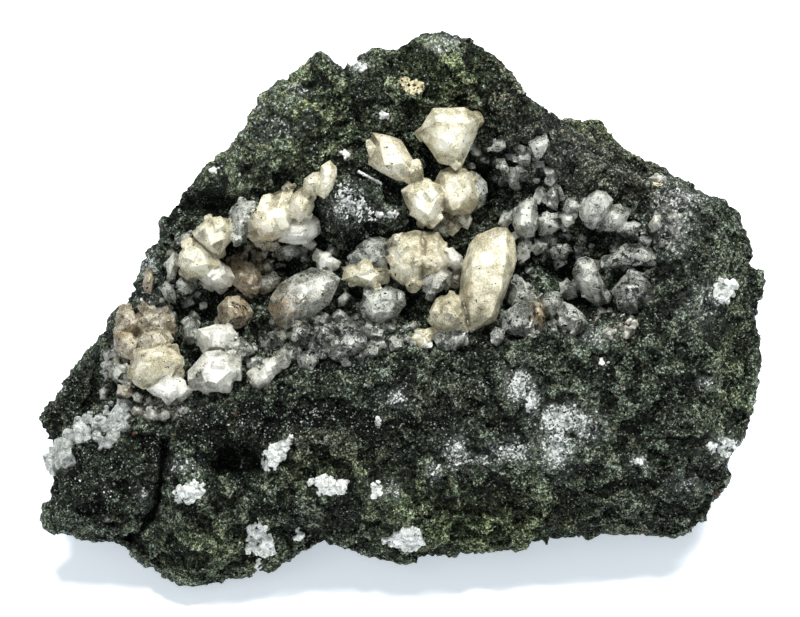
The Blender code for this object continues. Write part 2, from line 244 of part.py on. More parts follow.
GREY_CRYSTALS = (
    (3.8, ((6.4, 12.9), (7.3, 12.8), (8.2, 11.9), (8.3, 11.0), (8.0, 9.9), (7.0, 9.2), (6.6, 10.0)),
     ((7.2, 11.9), (7.5, 10.6))),
    (2.2, ((2.9, 7.6), (3.9, 8.2), (4.8, 7.6), (4.5, 6.8), (3.4, 7.0)), ((3.8, 7.5),)),
    (4.6, ((2.0, 2.6), (2.8, 3.6), (4.2, 3.8), (4.9, 3.3), (4.6, 2.4), (4.0, 1.7), (2.9, 1.2), (2.2, 1.7)),
     ((3.2, 2.9), (3.9, 2.7, -0.1))),
    (3.6, ((-4.6, 4.8), (-4.0, 5.9), (-3.0, 6.6), (-1.9, 6.8), (-1.2, 6.0), (-1.0, 4.9), (-1.4, 3.9), (-3.0, 4.3)),
     ((-3.0, 5.6, -0.1), (-1.9, 5.8), (-2.0, 4.7, 0.1))),
    (4.4, ((-3.8, 0.2), (-3.2, 1.2), (-2.2, 1.7), (-1.0, 2.0), (-0.1, 1.7), (0.4, 1.0), (0.2, 0.1), (-0.3, -0.7),
           (-1.4, -1.2), (-2.6, -1.7), (-3.4, -0.8)),
     ((-2.8, 0.6, -0.2), (-1.2, 1.2), (-0.4, 0.6, -0.1), (-1.0, -0.3, 0.2), (-2.4, -0.5))),
    (2.6, ((-4.0, -1.4), (-2.9, -1.4), (-1.9, -2.2), (-2.3, -3.0), (-3.6, -2.6)), ((-2.9, -2.1),)),
    (2.6, ((-6.8, -4.4), (-6.0, -3.5), (-5.2, -2.9), (-4.7, -2.1), (-4.0, -2.3), (-3.3, -3.1), (-3.8, -4.1),
           (-5.0, -4.3), (-6.1, -4.8)),
     ((-5.2, -3.7), (-4.4, -3.0))),
    (2.2, ((-21.2, 6.5), (-20.1, 7.2), (-19.5, 7.1), (-19.7, 6.5), (-20.8, 6.2)), ((-20.2, 6.8),)),
    (4.4, ((-16.2, 8.4), (-15.9, 9.5), (-15.1, 10.3), (-13.8, 9.9), (-13.4, 9.3), (-14.3, 7.8), (-14.8, 6.4),
           (-15.5, 6.1), (-16.0, 7.0)),
     ((-15.3, 9.4, -0.1), (-14.5, 9.0), (-15.1, 7.8))),
    (3.2, ((-11.6, 5.9), (-10.0, 6.1), (-9.4, 5.3), (-10.4, 4.7), (-11.5, 5.0)), ((-10.5, 5.5),)),
    (2.8, ((-13.2, 3.0), (-12.0, 3.3), (-11.3, 2.9), (-11.6, 2.1), (-12.6, 1.4), (-13.4, 1.8)), ((-12.3, 2.5),)),
    (2.8, ((-22.7, 1.8), (-22.2, 2.6), (-21.6, 2.2), (-21.2, 1.2), (-21.3, 0.4), (-22.2, 0.9)), ((-21.9, 1.6),)),
    (2.6, ((-21.2, 2.4), (-20.7, 3.0), (-19.6, 2.6), (-19.7, 1.7), (-20.4, 1.3), (-21.1, 1.6)), ((-20.4, 2.2),)),
    (3.6, ((-20.7, -2.1), (-19.8, -0.9), (-19.2, -1.1), (-19.0, -2.2), (-19.2, -3.1), (-19.8, -3.4), (-20.4, -2.9)),
     ((-20.0, -1.7), (-19.6, -2.5, 0.1))),
    (3.6, ((-16.4, -3.2), (-15.0, -2.7), (-14.2, -3.4), (-13.7, -4.2), (-14.5, -4.6), (-15.6, -4.4), (-16.6, -4.0)),
     ((-15.3, -3.5), (-14.6, -3.9, -0.1))),
    (3.0, ((-28.1, -5.1), (-27.2, -5.0), (-26.0, -5.4), (-25.2, -6.3), (-25.2, -7.3), (-26.0, -7.3), (-27.0, -6.5)),
     ((-26.0, -6.2), (-27.2, -5.5, -0.6))),
    (2.4, ((-28.5, -7.8), (-28.0, -7.4), (-27.6, -7.9), (-27.8, -8.6), (-28.3, -8.6)), ((-28.0, -8.0),)),
    (4.0, ((10.7, 8.0), (10.8, 9.2), (11.3, 9.9), (12.2, 10.5), (12.9, 10.4), (13.0, 9.0), (12.9, 7.7), (12.6, 6.9),
           (11.8, 6.8), (11.0, 7.3)),
     ((11.5, 9.3, -0.1), (12.4, 9.4, -0.1), (12.3, 7.7, 0.1), (11.4, 7.9))),
    (3.0, ((12.9, 8.6), (13.9, 9.2), (14.7, 8.7), (15.1, 7.6), (14.2, 6.9), (13.2, 7.0)),
     ((13.8, 8.1), (14.4, 7.8, -0.1))),
    (2.2, ((13.9, 10.8), (14.4, 12.0), (14.9, 11.6), (15.1, 10.3), (14.8, 9.3), (14.0, 9.7)), ((14.5, 10.7),)),
    (4.0, ((17.0, 8.8), (17.2, 9.8), (17.9, 10.7), (18.6, 11.1), (19.4, 11.0), (20.1, 10.2), (19.8, 9.2),
           (19.0, 8.2), (18.3, 7.5), (17.6, 7.8)),
     ((18.0, 10.0, -0.1), (19.1, 10.1, -0.1), (19.0, 9.0, 0.1), (18.0, 8.9))),
    (3.6, ((18.9, 7.8), (19.4, 8.8), (20.0, 9.7), (20.8, 9.9), (21.6, 8.9), (21.0, 7.9), (20.3, 7.3), (19.3, 7.4)),
     ((19.9, 8.7), (20.7, 8.9, -0.1), (20.2, 8.0, 0.1))),
    (2.4, ((15.4, 9.4), (15.9, 10.3), (16.7, 10.6), (17.1, 9.9), (16.8, 9.1), (15.8, 9.0)), ((16.3, 9.8),)),
    (2.2, ((20.6, 7.2), (21.2, 8.0), (22.1, 8.3), (23.0, 7.9), (22.4, 7.0), (21.4, 6.6)), ((21.7, 7.5),)),
    (2.4, ((12.3, 15.5), (12.8, 16.1), (13.8, 16.4), (14.1, 15.6), (13.4, 14.3), (12.8, 14.2)), ((13.2, 15.5),)),
    (2.4, ((8.4, 15.0), (9.0, 15.9), (9.9, 16.2), (10.0, 15.2), (9.2, 14.8)), ((9.3, 15.5),)),
    (2.4, ((9.1, 14.2), (9.9, 14.2), (10.4, 13.2), (10.4, 12.3), (9.8, 12.6), (9.2, 13.5)), ((9.8, 13.4),)),
    (3.4, ((10.6, 2.2), (11.0, 3.0), (11.5, 2.9), (12.2, 2.0), (12.8, 1.0), (12.5, 0.2), (11.2, -0.1), (10.2, 0.6)),
     ((11.2, 2.2, -0.2), (11.9, 1.2), (10.9, 0.9))),
    (3.2, ((9.8, -0.4), (11.3, 0.6), (12.6, 0.5), (13.2, -0.8), (13.0, -2.0), (12.3, -2.8), (11.0, -2.4),
           (9.6, -2.2)),
     ((10.6, -0.7, -0.1), (12.0, -0.4, -0.1), (12.3, -1.8), (10.9, -1.7))),
    (1.8, ((8.5, -2.4), (9.0, -1.7), (9.9, -2.0), (9.8, -2.9), (9.2, -3.6), (8.6, -3.2)), ((9.2, -2.6),)),
    (3.6, ((13.0, 0.9), (13.8, 1.5), (14.7, 1.4), (15.4, 0.7), (15.0, -0.4), (14.4, -1.2), (13.5, -0.4)),
     ((13.9, 0.8), (14.6, 0.5))),
    (3.4, ((14.9, -0.4), (15.5, 0.6), (16.2, 0.3), (17.2, -0.5), (17.7, -1.4), (17.1, -2.2), (16.5, -2.6),
           (16.0, -2.2), (15.2, -1.3)),
     ((15.7, -0.3, -0.1), (16.7, -0.9), (16.5, -1.8))),
    (4.2, ((16.3, 3.4), (16.8, 4.6), (17.6, 4.8), (18.3, 4.5), (19.0, 3.0), (19.6, 1.4), (19.6, 0.8), (18.8, 0.2),
           (17.6, 1.0), (16.7, 2.2)),
     ((17.2, 3.8, -0.2), (18.0, 3.7, -0.1), (18.9, 1.8), (17.8, 2.0, 0.2))),
    (2.8, ((19.4, 4.3), (20.2, 5.2), (21.2, 5.9), (22.6, 6.0), (23.6, 5.4), (24.4, 4.6), (24.0, 4.0), (22.8, 4.4),
           (21.0, 4.3)),
     ((21.3, 5.1), (22.9, 5.1))),
    (3.0, ((20.0, 1.6), (20.9, 2.8), (21.8, 3.6), (23.0, 3.3), (23.8, 2.0), (23.9, 0.8), (23.0, 0.1), (21.8, 0.0),
           (20.8, 0.6)),
     ((21.6, 2.6, -0.1), (22.8, 2.4), (22.8, 1.1, 0.1), (21.6, 1.2))),
    (2.2, ((14.1, 5.4), (14.8, 6.1), (15.9, 6.1), (16.3, 5.5), (15.6, 4.9), (14.6, 4.8)), ((15.2, 5.5),)),
    (2.2, ((12.4, 5.6), (13.0, 6.6), (13.9, 6.2), (13.6, 5.4), (12.9, 5.0)), ((13.2, 5.9),)),
    (2.4, ((11.2, 6.0), (11.8, 6.9), (12.4, 6.3), (12.3, 4.9), (11.4, 4.2), (11.1, 4.8)), ((11.8, 5.6),)),
    (2.0, ((15.2, 2.2), (15.8, 2.9), (16.6, 2.0), (16.8, 1.1), (15.8, 0.8), (15.2, 1.3)), ((15.9, 1.9),)),
    (2.2, ((9.3, 8.0), (9.8, 9.3), (10.6, 9.3), (10.7, 8.3), (10.0, 7.6)), ((10.1, 8.5),)),
    (2.8, ((-9.9, -1.3), (-8.8, -1.2), (-8.2, -2.2), (-8.6, -3.2), (-9.7, -3.8), (-10.4, -2.8)), ((-9.2, -2.2),)),
    (2.2, ((-7.6, -1.8), (-6.6, -1.6), (-6.1, -2.8), (-6.4, -3.8), (-7.4, -4.0), (-7.9, -3.0)), ((-7.0, -2.7),)),
    (1.8, ((-9.9, -4.2), (-8.6, -4.0), (-7.8, -5.0), (-8.3, -5.9), (-9.5, -5.6)), ((-8.9, -4.9),)),
    (2.6, ((-5.9, 0.9), (-5.2, 1.6), (-4.6, 1.2), (-5.2, 0.3), (-5.8, 0.2)), ((-5.2, 0.9),)),
    (2.4, ((-12.0, -2.3), (-11.0, -2.1), (-10.6, -2.9), (-10.9, -3.8), (-11.7, -3.4)), ((-11.2, -2.9),)),
    (1.8, ((3.8, -2.2), (5.4, -2.0), (6.4, -2.2), (5.9, -3.4), (5.2, -4.0), (3.9, -3.5), (3.4, -2.9)),
     ((4.6, -2.8), (5.5, -3.0, -0.1))),
)
BROWN_CRYSTALS = (
    (2.8, ((3.4, 8.2), (4.0, 9.2), (5.6, 8.8), (5.8, 7.8), (5.0, 6.9), (4.2, 7.2)), ((4.5, 8.2),)),
    (3.0, ((-1.4, 6.1), (-0.6, 7.0), (0.3, 7.2), (0.4, 6.5), (-0.8, 5.8)), ((-0.4, 6.5),)),
    (2.6, ((4.8, 3.4), (5.9, 3.6), (6.2, 2.8), (5.4, 1.9), (4.6, 2.0)), ((5.4, 2.8),)),
    (5.2, ((-12.3, 0.0), (-12.1, 1.1), (-11.3, 2.3), (-9.9, 3.1), (-8.4, 3.8), (-6.5, 3.3), (-5.8, 2.7), (-6.1, 1.9),
           (-6.8, 0.4), (-8.0, -0.4), (-9.8, -0.9), (-10.6, -1.8), (-11.4, -1.5)),
     ((-11.2, 0.6, -0.6), (-10.3, 1.9, -0.5), (-8.4, 2.7, -0.6), (-7.0, 2.4, -0.8), (-7.6, 0.9, -0.2), (-9.6, 0.0),
      (-10.6, -0.5, -0.4))),
    (3.2, ((-14.2, 6.7), (-12.6, 6.6), (-11.4, 6.3), (-12.0, 5.4), (-13.6, 5.8)), ((-12.8, 6.2),)),
    (2.8, ((-11.2, 11.4), (-10.6, 12.0), (-10.0, 11.6), (-10.2, 10.9), (-11.0, 10.8)), ((-10.6, 11.5),)),
    (2.4, ((-16.0, 4.6), (-14.2, 4.4), (-13.2, 3.4), (-13.4, 1.7), (-14.6, 1.2), (-15.9, 2.4)),
     ((-14.8, 3.4), (-14.2, 2.4))),
    (4.2, ((-17.2, 0.2), (-16.3, 1.1), (-15.2, 1.1), (-14.4, 0.4), (-13.9, -0.4), (-14.4, -1.4), (-15.2, -1.8),
           (-16.2, -1.8), (-17.1, -1.2)),
     ((-16.2, 0.2), (-15.2, 0.2), (-14.8, -0.7), (-16.1, -0.9, 0.1))),
    (2.2, ((-24.4, 2.4), (-24.1, 3.6), (-23.6, 3.8), (-23.4, 2.8), (-23.7, 1.4), (-24.2, 1.6)), ((-23.9, 2.6),)),
    (3.0, ((-26.8, -0.4), (-26.1, 0.4), (-25.3, -0.2), (-24.5, -1.2), (-24.5, -2.0), (-25.6, -2.7), (-26.9, -2.2)),
     ((-26.0, -0.7, -0.1), (-25.2, -1.3))),
    (3.4, ((-27.0, -2.2), (-25.4, -2.4), (-24.7, -3.2), (-24.8, -4.4), (-25.2, -4.9), (-26.3, -4.5), (-27.0, -3.5)),
     ((-26.2, -3.0, -0.1), (-25.4, -3.6))),
    (3.4, ((-24.8, -1.0), (-24.2, 0.0), (-23.2, -0.1), (-21.9, -0.3), (-21.4, -0.9), (-21.6, -1.8), (-23.2, -1.7),
           (-24.6, -1.6)),
     ((-23.8, -0.8), (-22.4, -0.9))),
    (4.8, ((-24.7, -3.1), (-24.1, -2.1), (-23.1, -1.9), (-21.9, -2.1), (-21.4, -2.9), (-21.9, -3.8), (-22.9, -4.2),
           (-24.1, -4.0)),
     ((-23.8, -2.9, -0.2), (-22.3, -2.8, -0.2), (-22.9, -3.5))),
    (2.8, ((-26.6, -7.2), (-25.3, -7.3), (-25.1, -8.1), (-25.8, -8.5), (-26.7, -8.1)), ((-25.9, -7.8),)),
    (3.4, ((12.6, 0.6), (13.2, 0.5), (13.7, -0.9), (13.5, -1.7), (12.8, -1.6), (12.5, -0.6)), ((13.1, -0.5),)),
)

MATERIALS = {
    "dark_rock": ((0.030, 0.036, 0.028), 0.75),
    "anorthite": ((0.72, 0.68, 0.55), 0.35),
    "white_grains": ((0.80, 0.82, 0.80), 0.50),
}


def on_face(u, v, w):
    """The place in metres of a point of the display face in millimetres."""
    return FACE_CENTRE + (u * ACROSS + v * UP_FACE + w * OUT_OF_FACE) * MM


def to_face(point):
    """The display face's (u, v, w) in millimetres of a place in metres."""
    offset = (point - FACE_CENTRE) / MM
    return offset.dot(ACROSS), offset.dot(UP_FACE), offset.dot(OUT_OF_FACE)


def make_material(name):
    colour, roughness = MATERIALS[name]
    material = bpy.data.materials.new(name)
    material.use_nodes = True
    shader = material.node_tree.nodes["Principled BSDF"]
    shader.inputs["Base Color"].default_value = (*colour, 1.0)
    shader.inputs["Roughness"].default_value = roughness
    return material


def make_object(name, mesh):
    """Turns a bmesh into an object of the scene."""
    data = bpy.data.meshes.new(name)
    mesh.to_mesh(data)
    mesh.free()
    made = bpy.data.objects.new(name, data)
    bpy.context.scene.collection.objects.link(made)
    return made


def remove_object(obj):
    bpy.data.objects.remove(obj)


def apply_modifiers(obj):
    """Keeps what the object's modifiers make of its mesh, and removes them."""
    graph = bpy.context.evaluated_depsgraph_get()
    made = bpy.data.meshes.new_from_object(obj.evaluated_get(graph))
    obj.modifiers.clear()
    obj.data = made


def combine(obj, operation, other, crossing=False):
    """Joins, cuts or intersects the object with another, which is then removed."""
    modifier = obj.modifiers.new(operation.title(), "BOOLEAN")
    modifier.operation = operation
    modifier.object = other
    modifier.use_self = crossing
    apply_modifiers(obj)
    remove_object(other)


def triangles_inside(rim, inner):
    """Index triples that cover the inside of the rim, corners on the rim and on the inner points."""
    flat = [Vector(point[:2]) for point in (*rim, *inner)]
    border = [(i, (i + 1) % len(rim)) for i in range(len(rim))]
    _, _, faces, origins, _, _ = delaunay_2d_cdt(flat, border, [], 1, 1e-5)
    return [[origins[corner][0] for corner in face] for face in faces]


def rock_skin():
    """The rock's main planes: one sheet of facets in front and one behind, closed along the rim."""
    rim = [(u * RIM_SPREAD, v * RIM_SPREAD, w) for u, v, w in RIM]
    front = LOWER_FACE + CLEFTS + HOLLOW + UPPER_BAND
    back = [to_face(Vector(point) * MM) for point in BACK]
    mesh = bmesh.new()
    rim_corners = [mesh.verts.new(on_face(*point)) for point in rim]
    for inner, facing_out in ((front, True), (back, False)):
        corners = rim_corners + [mesh.verts.new(on_face(*point)) for point in inner]
        for face in triangles_inside(rim, inner):
            order = face if facing_out else face[::-1]
            mesh.faces.new([corners[i] for i in order])
    bmesh.ops.recalc_face_normals(mesh, faces=mesh.faces)
    return mesh


def lumps(place):
    """How far the broken surface stands out at a place."""
    wide = noise.fractal(place / LUMP_SIZE, LUMP_SMOOTHNESS, OCTAVE_STEP, LUMP_OCTAVES)
    ledges = noise.cell(place / LEDGE_SIZE) - 0.5
    return LUMP_HEIGHT * wide + LEDGE_HEIGHT * ledges


def move_along_normals(mesh, distance):
    """Moves each point out by distance(point)."""
    mesh.normal_update()
    moves = [(vert, vert.normal * distance(vert.co)) for vert in mesh.verts]
    for vert, move in moves:
        vert.co += move


def cut_flat_below(mesh, height):
    """Cuts the mesh off at a height and closes it with a flat foot."""
    everything = mesh.verts[:] + mesh.edges[:] + mesh.faces[:]
    cut = bmesh.ops.bisect_plane(
        mesh, geom=everything, plane_co=(0.0, 0.0, height), plane_no=(0.0, 0.0, -1.0), clear_outer=True
    )
    border = [item for item in cut["geom_cut"] if isinstance(item, bmesh.types.BMEdge)]
    bmesh.ops.triangle_fill(mesh, use_beauty=True, edges=border, normal=(0.0, 0.0, -1.0))


def make_rock():
    rock = make_object("matrix", rock_skin())
    remesh = rock.modifiers.new("Remesh", "REMESH")
    remesh.mode = "VOXEL"
    remesh.voxel_size = ROCK_GRID
    apply_modifiers(rock)
    mesh = bmesh.new()
    mesh.from_mesh(rock.data)
    move_along_normals(mesh, lumps)
    bmesh.ops.triangulate(mesh, faces=mesh.faces)
    face_count = len(mesh.faces)
    mesh.to_mesh(rock.data)
    mesh.free()
    decimate = rock.modifiers.new("Decimate", "DECIMATE")
    decimate.ratio = ROCK_TRIANGLES / face_count
    apply_modifiers(rock)
    mesh = bmesh.new()
    mesh.from_mesh(rock.data)
    cut_flat_below(mesh, 0.0)
    bmesh.ops.triangulate(mesh, faces=mesh.faces)
    bmesh.ops.recalc_face_normals(mesh, faces=mesh.faces)
    mesh.to_mesh(rock.data)
    mesh.free()
    return rock


def grown_rock(rock, distance):
    """A copy of the rock with its surface moved out, to cut or to fill."""
    mesh = bmesh.new()
    mesh.from_mesh(rock.data)
    move_along_normals(mesh, lambda place: distance)
    return make_object("grown_rock", mesh)


def face_prism(outline, bottom):
    """A block through the display face with the given outline, down to the w of its bottom."""
    mesh = bmesh.new()
    low = [mesh.verts.new(on_face(u, v, bottom)) for u, v in outline]
    high = [mesh.verts.new(on_face(u, v, PRISM_TOP)) for u, v in outline]
    mesh.faces.new(low)
    mesh.faces.new(high)
    for i in range(len(outline)):
        j = (i + 1) % len(outline)
        mesh.faces.new((low[i], low[j], high[j], high[i]))
    bmesh.ops.recalc_face_normals(mesh, faces=mesh.faces)
    return make_object("face_prism", mesh)


def layer_on_rock(name, rock, outline, bottom, thickness):
    """The block from inside the rock up to the given thickness above it."""
    layer = face_prism(outline, bottom)
    layer.name = name
    combine(layer, "INTERSECT", grown_rock(rock, GAP + thickness))
    return layer


def keep_largest_piece(obj):
    """Removes chips that the cuts have set free."""
    mesh = bmesh.new()
    mesh.from_mesh(obj.data)
    unseen = set(mesh.verts)
    pieces = []
    while unseen:
        piece = {unseen.pop()}
        edge_of_piece = list(piece)
        while edge_of_piece:
            vert = edge_of_piece.pop()
            for edge in vert.link_edges:
                other = edge.other_vert(vert)
                if other in unseen:
                    unseen.discard(other)
                    piece.add(other)
                    edge_of_piece.append(other)
        pieces.append(piece)
    largest = max(pieces, key=len)
    bmesh.ops.delete(mesh, geom=[vert for vert in mesh.verts if vert not in largest], context="VERTS")
    mesh.to_mesh(obj.data)
    mesh.free()


def rock_height(surface, u, v):
    """The rock's w under a point of the display face."""
    start = on_face(u, v, RAY_START)
    hit, _, _, _ = surface.ray_cast(start, -OUT_OF_FACE)
    return to_face(hit)[2]


def add_crystal(mesh, surface, tall, outline, corners):
    """Adds one crystal: the hull of its root in the rock, its widest outline and the corners of its front facets."""
    middle_u = sum(u for u, v in outline) / len(outline)
    middle_v = sum(v for u, v in outline) / len(outline)
    ground = rock_height(surface, middle_u, middle_v)
    points = [on_face(u, v, ground + CRYSTAL_WAIST * tall) for u, v in outline]
    for u, v in outline:
        root_u = middle_u + (u - middle_u) * CRYSTAL_ROOT_SPREAD
        root_v = middle_v + (v - middle_v) * CRYSTAL_ROOT_SPREAD
        points.append(on_face(root_u, root_v, ground - CRYSTAL_ROOT))
    for u, v, *difference in corners:
        points.append(on_face(u, v, ground + tall + sum(difference)))
    hull = bmesh.new()
    for point in points:
        hull.verts.new(point)
    made = bmesh.ops.convex_hull(hull, input=hull.verts)
    inside = [item for item in made["geom_interior"] if isinstance(item, bmesh.types.BMVert)]
    bmesh.ops.delete(hull, geom=inside, context="VERTS")
    bmesh.ops.recalc_face_normals(hull, faces=hull.faces)
    data = bpy.data.meshes.new("crystal")
    hull.to_mesh(data)
    hull.free()
    mesh.from_mesh(data)
    bpy.data.meshes.remove(data)


def make_crust(rock):
    surface = BVHTree.FromObject(rock, bpy.context.evaluated_depsgraph_get())
    crystals = bmesh.new()
    for kind in (CREAM_CRYSTALS, WHITE_CRYSTALS, GREY_CRYSTALS, BROWN_CRYSTALS):
        for tall, outline, corners in kind:
            add_crystal(crystals, surface, tall, outline, corners)
    crust = layer_on_rock("crystal_crust", rock, CRUST_OUTLINE, HOLLOW_BOTTOM, CRUST_THICKNESS)
    combine(crust, "DIFFERENCE", face_prism(BARE_BLOCK, HOLLOW_BOTTOM))
    combine(crust, "UNION", make_object("crystals", crystals), crossing=True)
    combine(crust, "DIFFERENCE", grown_rock(rock, GAP))
    keep_largest_piece(crust)
    decimate = crust.modifiers.new("Decimate", "DECIMATE")
    decimate.ratio = CRUST_DETAIL
    apply_modifiers(crust)
    return crust


def make_white_layer(name, rock, outline, bottom, thickness):
    layer = layer_on_rock(name, rock, outline, bottom, thickness)
    combine(layer, "DIFFERENCE", grown_rock(rock, GAP))
    keep_largest_piece(layer)
    return layer


def main():
    for obj in list(bpy.data.objects):
        remove_object(obj)
    rock = make_rock()
    rock.data.materials.append(make_material("dark_rock"))
    crust = make_crust(rock)
    crust.data.materials.clear()
    crust.data.materials.append(make_material("anorthite"))
    white = make_material("white_grains")
    whites = [make_white_layer("white_vein", rock, VEIN_OUTLINE, VEIN_BOTTOM, VEIN_THICKNESS)]
    for number, outline in enumerate(PATCH_OUTLINES, start=1):
        name = f"white_patch_{number}"
        whites.append(make_white_layer(name, rock, outline, PATCH_BOTTOM, PATCH_THICKNESS))
    for layer in whites:
        layer.data.materials.clear()
        layer.data.materials.append(white)
    for obj in (rock, crust, *whites):
        obj.data.transform(Matrix.Translation(MOVE_TO_MIDDLE))


main()
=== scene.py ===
# %% [markdown]
# # Anorthite crystals in a hollow of a volcanic rock
#
# This lesson dresses a measured model of a mineral specimen: a broken piece of dark rock, about 69 mm wide,
# with a hollow that is lined with cream, white and grey anorthite crystals. The measured solids say where
# everything is. The lesson gives each surface its real relief and its own finish, and adds the grains that
# are too fine to measure.

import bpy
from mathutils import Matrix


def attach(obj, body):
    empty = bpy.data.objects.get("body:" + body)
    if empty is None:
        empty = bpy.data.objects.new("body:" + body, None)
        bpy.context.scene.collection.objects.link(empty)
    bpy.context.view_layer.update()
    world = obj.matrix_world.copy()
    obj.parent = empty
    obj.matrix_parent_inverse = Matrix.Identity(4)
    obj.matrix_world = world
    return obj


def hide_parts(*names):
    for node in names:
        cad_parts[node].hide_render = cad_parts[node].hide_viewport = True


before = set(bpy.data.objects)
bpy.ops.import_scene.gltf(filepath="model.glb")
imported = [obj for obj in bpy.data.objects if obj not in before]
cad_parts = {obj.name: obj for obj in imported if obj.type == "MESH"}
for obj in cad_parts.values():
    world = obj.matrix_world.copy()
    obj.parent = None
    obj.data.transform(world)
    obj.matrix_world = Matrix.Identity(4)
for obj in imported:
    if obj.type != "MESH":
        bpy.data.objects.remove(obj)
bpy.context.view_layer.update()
print("measured solids:", ", ".join(sorted(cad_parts)))

# %% [markdown]
# ## Places on the display face
#
# The specimen is a wedge, and everything worth seeing is on its leaning front. So places are given the way
# one reads them off the front: u to the right, v up the face and w out of it, in millimetres. One function
# turns that into a place in the model, another turns a place back into (u, v, w).

# %% Face coordinates
import itertools
import math
import random

import bmesh
import bpy
import numpy as np
from mathutils import Quaternion, Vector, noise
from mathutils.bvhtree import BVHTree

MM = 0.001
FACE_SLOPE = math.radians(40.0)
FACE_CENTRE = Vector((0.0, -0.76, 19.0)) * MM
ACROSS = Vector((1.0, 0.0, 0.0))
UP_FACE = Vector((0.0, math.cos(FACE_SLOPE), math.sin(FACE_SLOPE)))
OUT_OF_FACE = Vector((0.0, -math.sin(FACE_SLOPE), math.cos(FACE_SLOPE)))


def on_face(u, v, w):
    """The place in metres of a point of the display face in millimetres."""
    return FACE_CENTRE + (u * ACROSS + v * UP_FACE + w * OUT_OF_FACE) * MM


def to_face(point):
    """The display face's (u, v, w) in millimetres of a place in metres."""
    offset = (point - FACE_CENTRE) / MM
    return offset.dot(ACROSS), offset.dot(UP_FACE), offset.dot(OUT_OF_FACE)


print("the face's middle is", [round(c / MM, 1) for c in on_face(0, 0, 0)], "mm from the origin")

# %% [markdown]
# ## The camera
#
# The specimen is looked down on at 50 degrees, straight onto its leaning face. A long lens from far away
# keeps the outline free of perspective, so that sizes across the picture can be compared with a ruler.

# %% Camera
CAMERA_DISTANCE = 900.0 * MM
PICTURE_WIDTH = 75.83 * MM
SENSOR_WIDTH = 36.0

camera_data = bpy.data.cameras.new("camera")
camera_data.sensor_width = SENSOR_WIDTH
camera_data.lens = SENSOR_WIDTH * CAMERA_DISTANCE / PICTURE_WIDTH
camera = bpy.data.objects.new("camera", camera_data)
bpy.context.scene.collection.objects.link(camera)
camera.location = FACE_CENTRE + CAMERA_DISTANCE * OUT_OF_FACE
camera.rotation_euler = (FACE_SLOPE, 0.0, 0.0)
bpy.context.scene.camera = camera
print(f"a {camera_data.lens:.0f} mm lens shows {PICTURE_WIDTH / MM:.1f} mm across")

# %% [markdown]
# ## A skin of small even squares
#
# A broken rock has detail everywhere, so its skin needs an even net of small faces to carry it. The voxel
# remesh lays such a net over any closed shape. The measured solid gives the shape, its facets are softened
# first, and the squares on the display face are then split once more, because that side is looked at from
# close by.

# %% Helpers for meshes
ROCK_SQUARE = 0.37 * MM
ROCK_SOFTENING = 4
SEEN_FROM_FRONT = 0.15


def link(obj):
    bpy.context.scene.collection.objects.link(obj)
    return obj


def apply_modifiers(obj):
    """Keeps what the object's modifiers make of its mesh, and removes them."""
    graph = bpy.context.evaluated_depsgraph_get()
    made = bpy.data.meshes.new_from_object(obj.evaluated_get(graph))
    obj.modifiers.clear()
    obj.data = made


def even_squares(obj, size):
    remesh = obj.modifiers.new("Even squares", "REMESH")
    remesh.mode = "VOXEL"
    remesh.voxel_size = size
    apply_modifiers(obj)


def soften(mesh, rounds):
    """Moves every corner of the net towards the middle of its neighbours."""
    for _ in range(rounds):
        bmesh.ops.smooth_vert(
            mesh, verts=mesh.verts, factor=0.5, use_axis_x=True, use_axis_y=True, use_axis_z=True
        )


print(f"the rock's net will have squares of {ROCK_SQUARE / MM:.2f} mm")

# %% [markdown]
# ## The rock's net
#
# The copy of the measured rock gets its net of squares here. The softening takes the facets away but leaves
# the large forms, such as the hollow, the ridge and the foot, where they were measured.

# %% The rock's net
block = link(bpy.data.objects.new("block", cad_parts["matrix"].data.copy()))
even_squares(block, ROCK_SQUARE)
net = bmesh.new()
net.from_mesh(block.data)
bpy.data.objects.remove(block)
soften(net, ROCK_SOFTENING)
net.normal_update()
front = [face for face in net.faces if face.normal.dot(OUT_OF_FACE) > SEEN_FROM_FRONT]
front_edges = list({edge for face in front for edge in face.edges})
bmesh.ops.subdivide_edges(net, edges=front_edges, cuts=1, use_grid_fill=True)
soften(net, 1)
print(f"the rock's net has {len(net.faces)} faces, {len(front)} of them split")

# %% [markdown]
# ## The broken relief of the rock
#
# The rock is a crust of interlocked grains, so its break is rough at every size: lumps of a few
# millimetres, grains of half a millimetre, and small pits where gas bubbles or lost grains were. Soft noise
# gives the lumps, and cells give the grains and pits. Every corner moves along its own direction outwards.

# %% Relief functions
LUMPS = {"size": 3.2 * MM, "height": 0.30 * MM, "smoothness": 1.0, "finer_by": 2.0, "rounds": 2}
BREAKS = {"size": 1.2 * MM, "height": 0.34 * MM, "smoothness": 0.7, "finer_by": 2.1, "rounds": 3}
GRAINS = {"size": 0.62 * MM, "height": 0.24 * MM}
FINE_GRAINS = {"size": 0.34 * MM, "height": 0.17 * MM}
GRAIN_TOP = 0.45
FILLING = 0.24 * MM
PIT_SPACING = 1.6 * MM
PIT_DEPTH = 0.5 * MM
PIT_SHARE = 0.30
PIT_SMALLEST, PIT_LARGEST = 0.08, 0.20
PIT_FLOOR = 0.4
SHUFFLE = 7.0


def smooth_step(low, high, value):
    """0 below low, 1 above high and a smooth slope between them."""
    share = min(max((value - low) / (high - low), 0.0), 1.0)
    return share * share * (3.0 - 2.0 * share)


def pit_depth(place):
    """How deep a place lies in one of the scattered pits, from 0 to 1."""
    distances, points = noise.voronoi(place / PIT_SPACING)
    chance = noise.cell(points[0] * SHUFFLE)
    if chance > PIT_SHARE:
        return 0.0
    radius = PIT_SMALLEST + (PIT_LARGEST - PIT_SMALLEST) * chance / PIT_SHARE
    return 1.0 - smooth_step(PIT_FLOOR * radius, radius, distances[0])


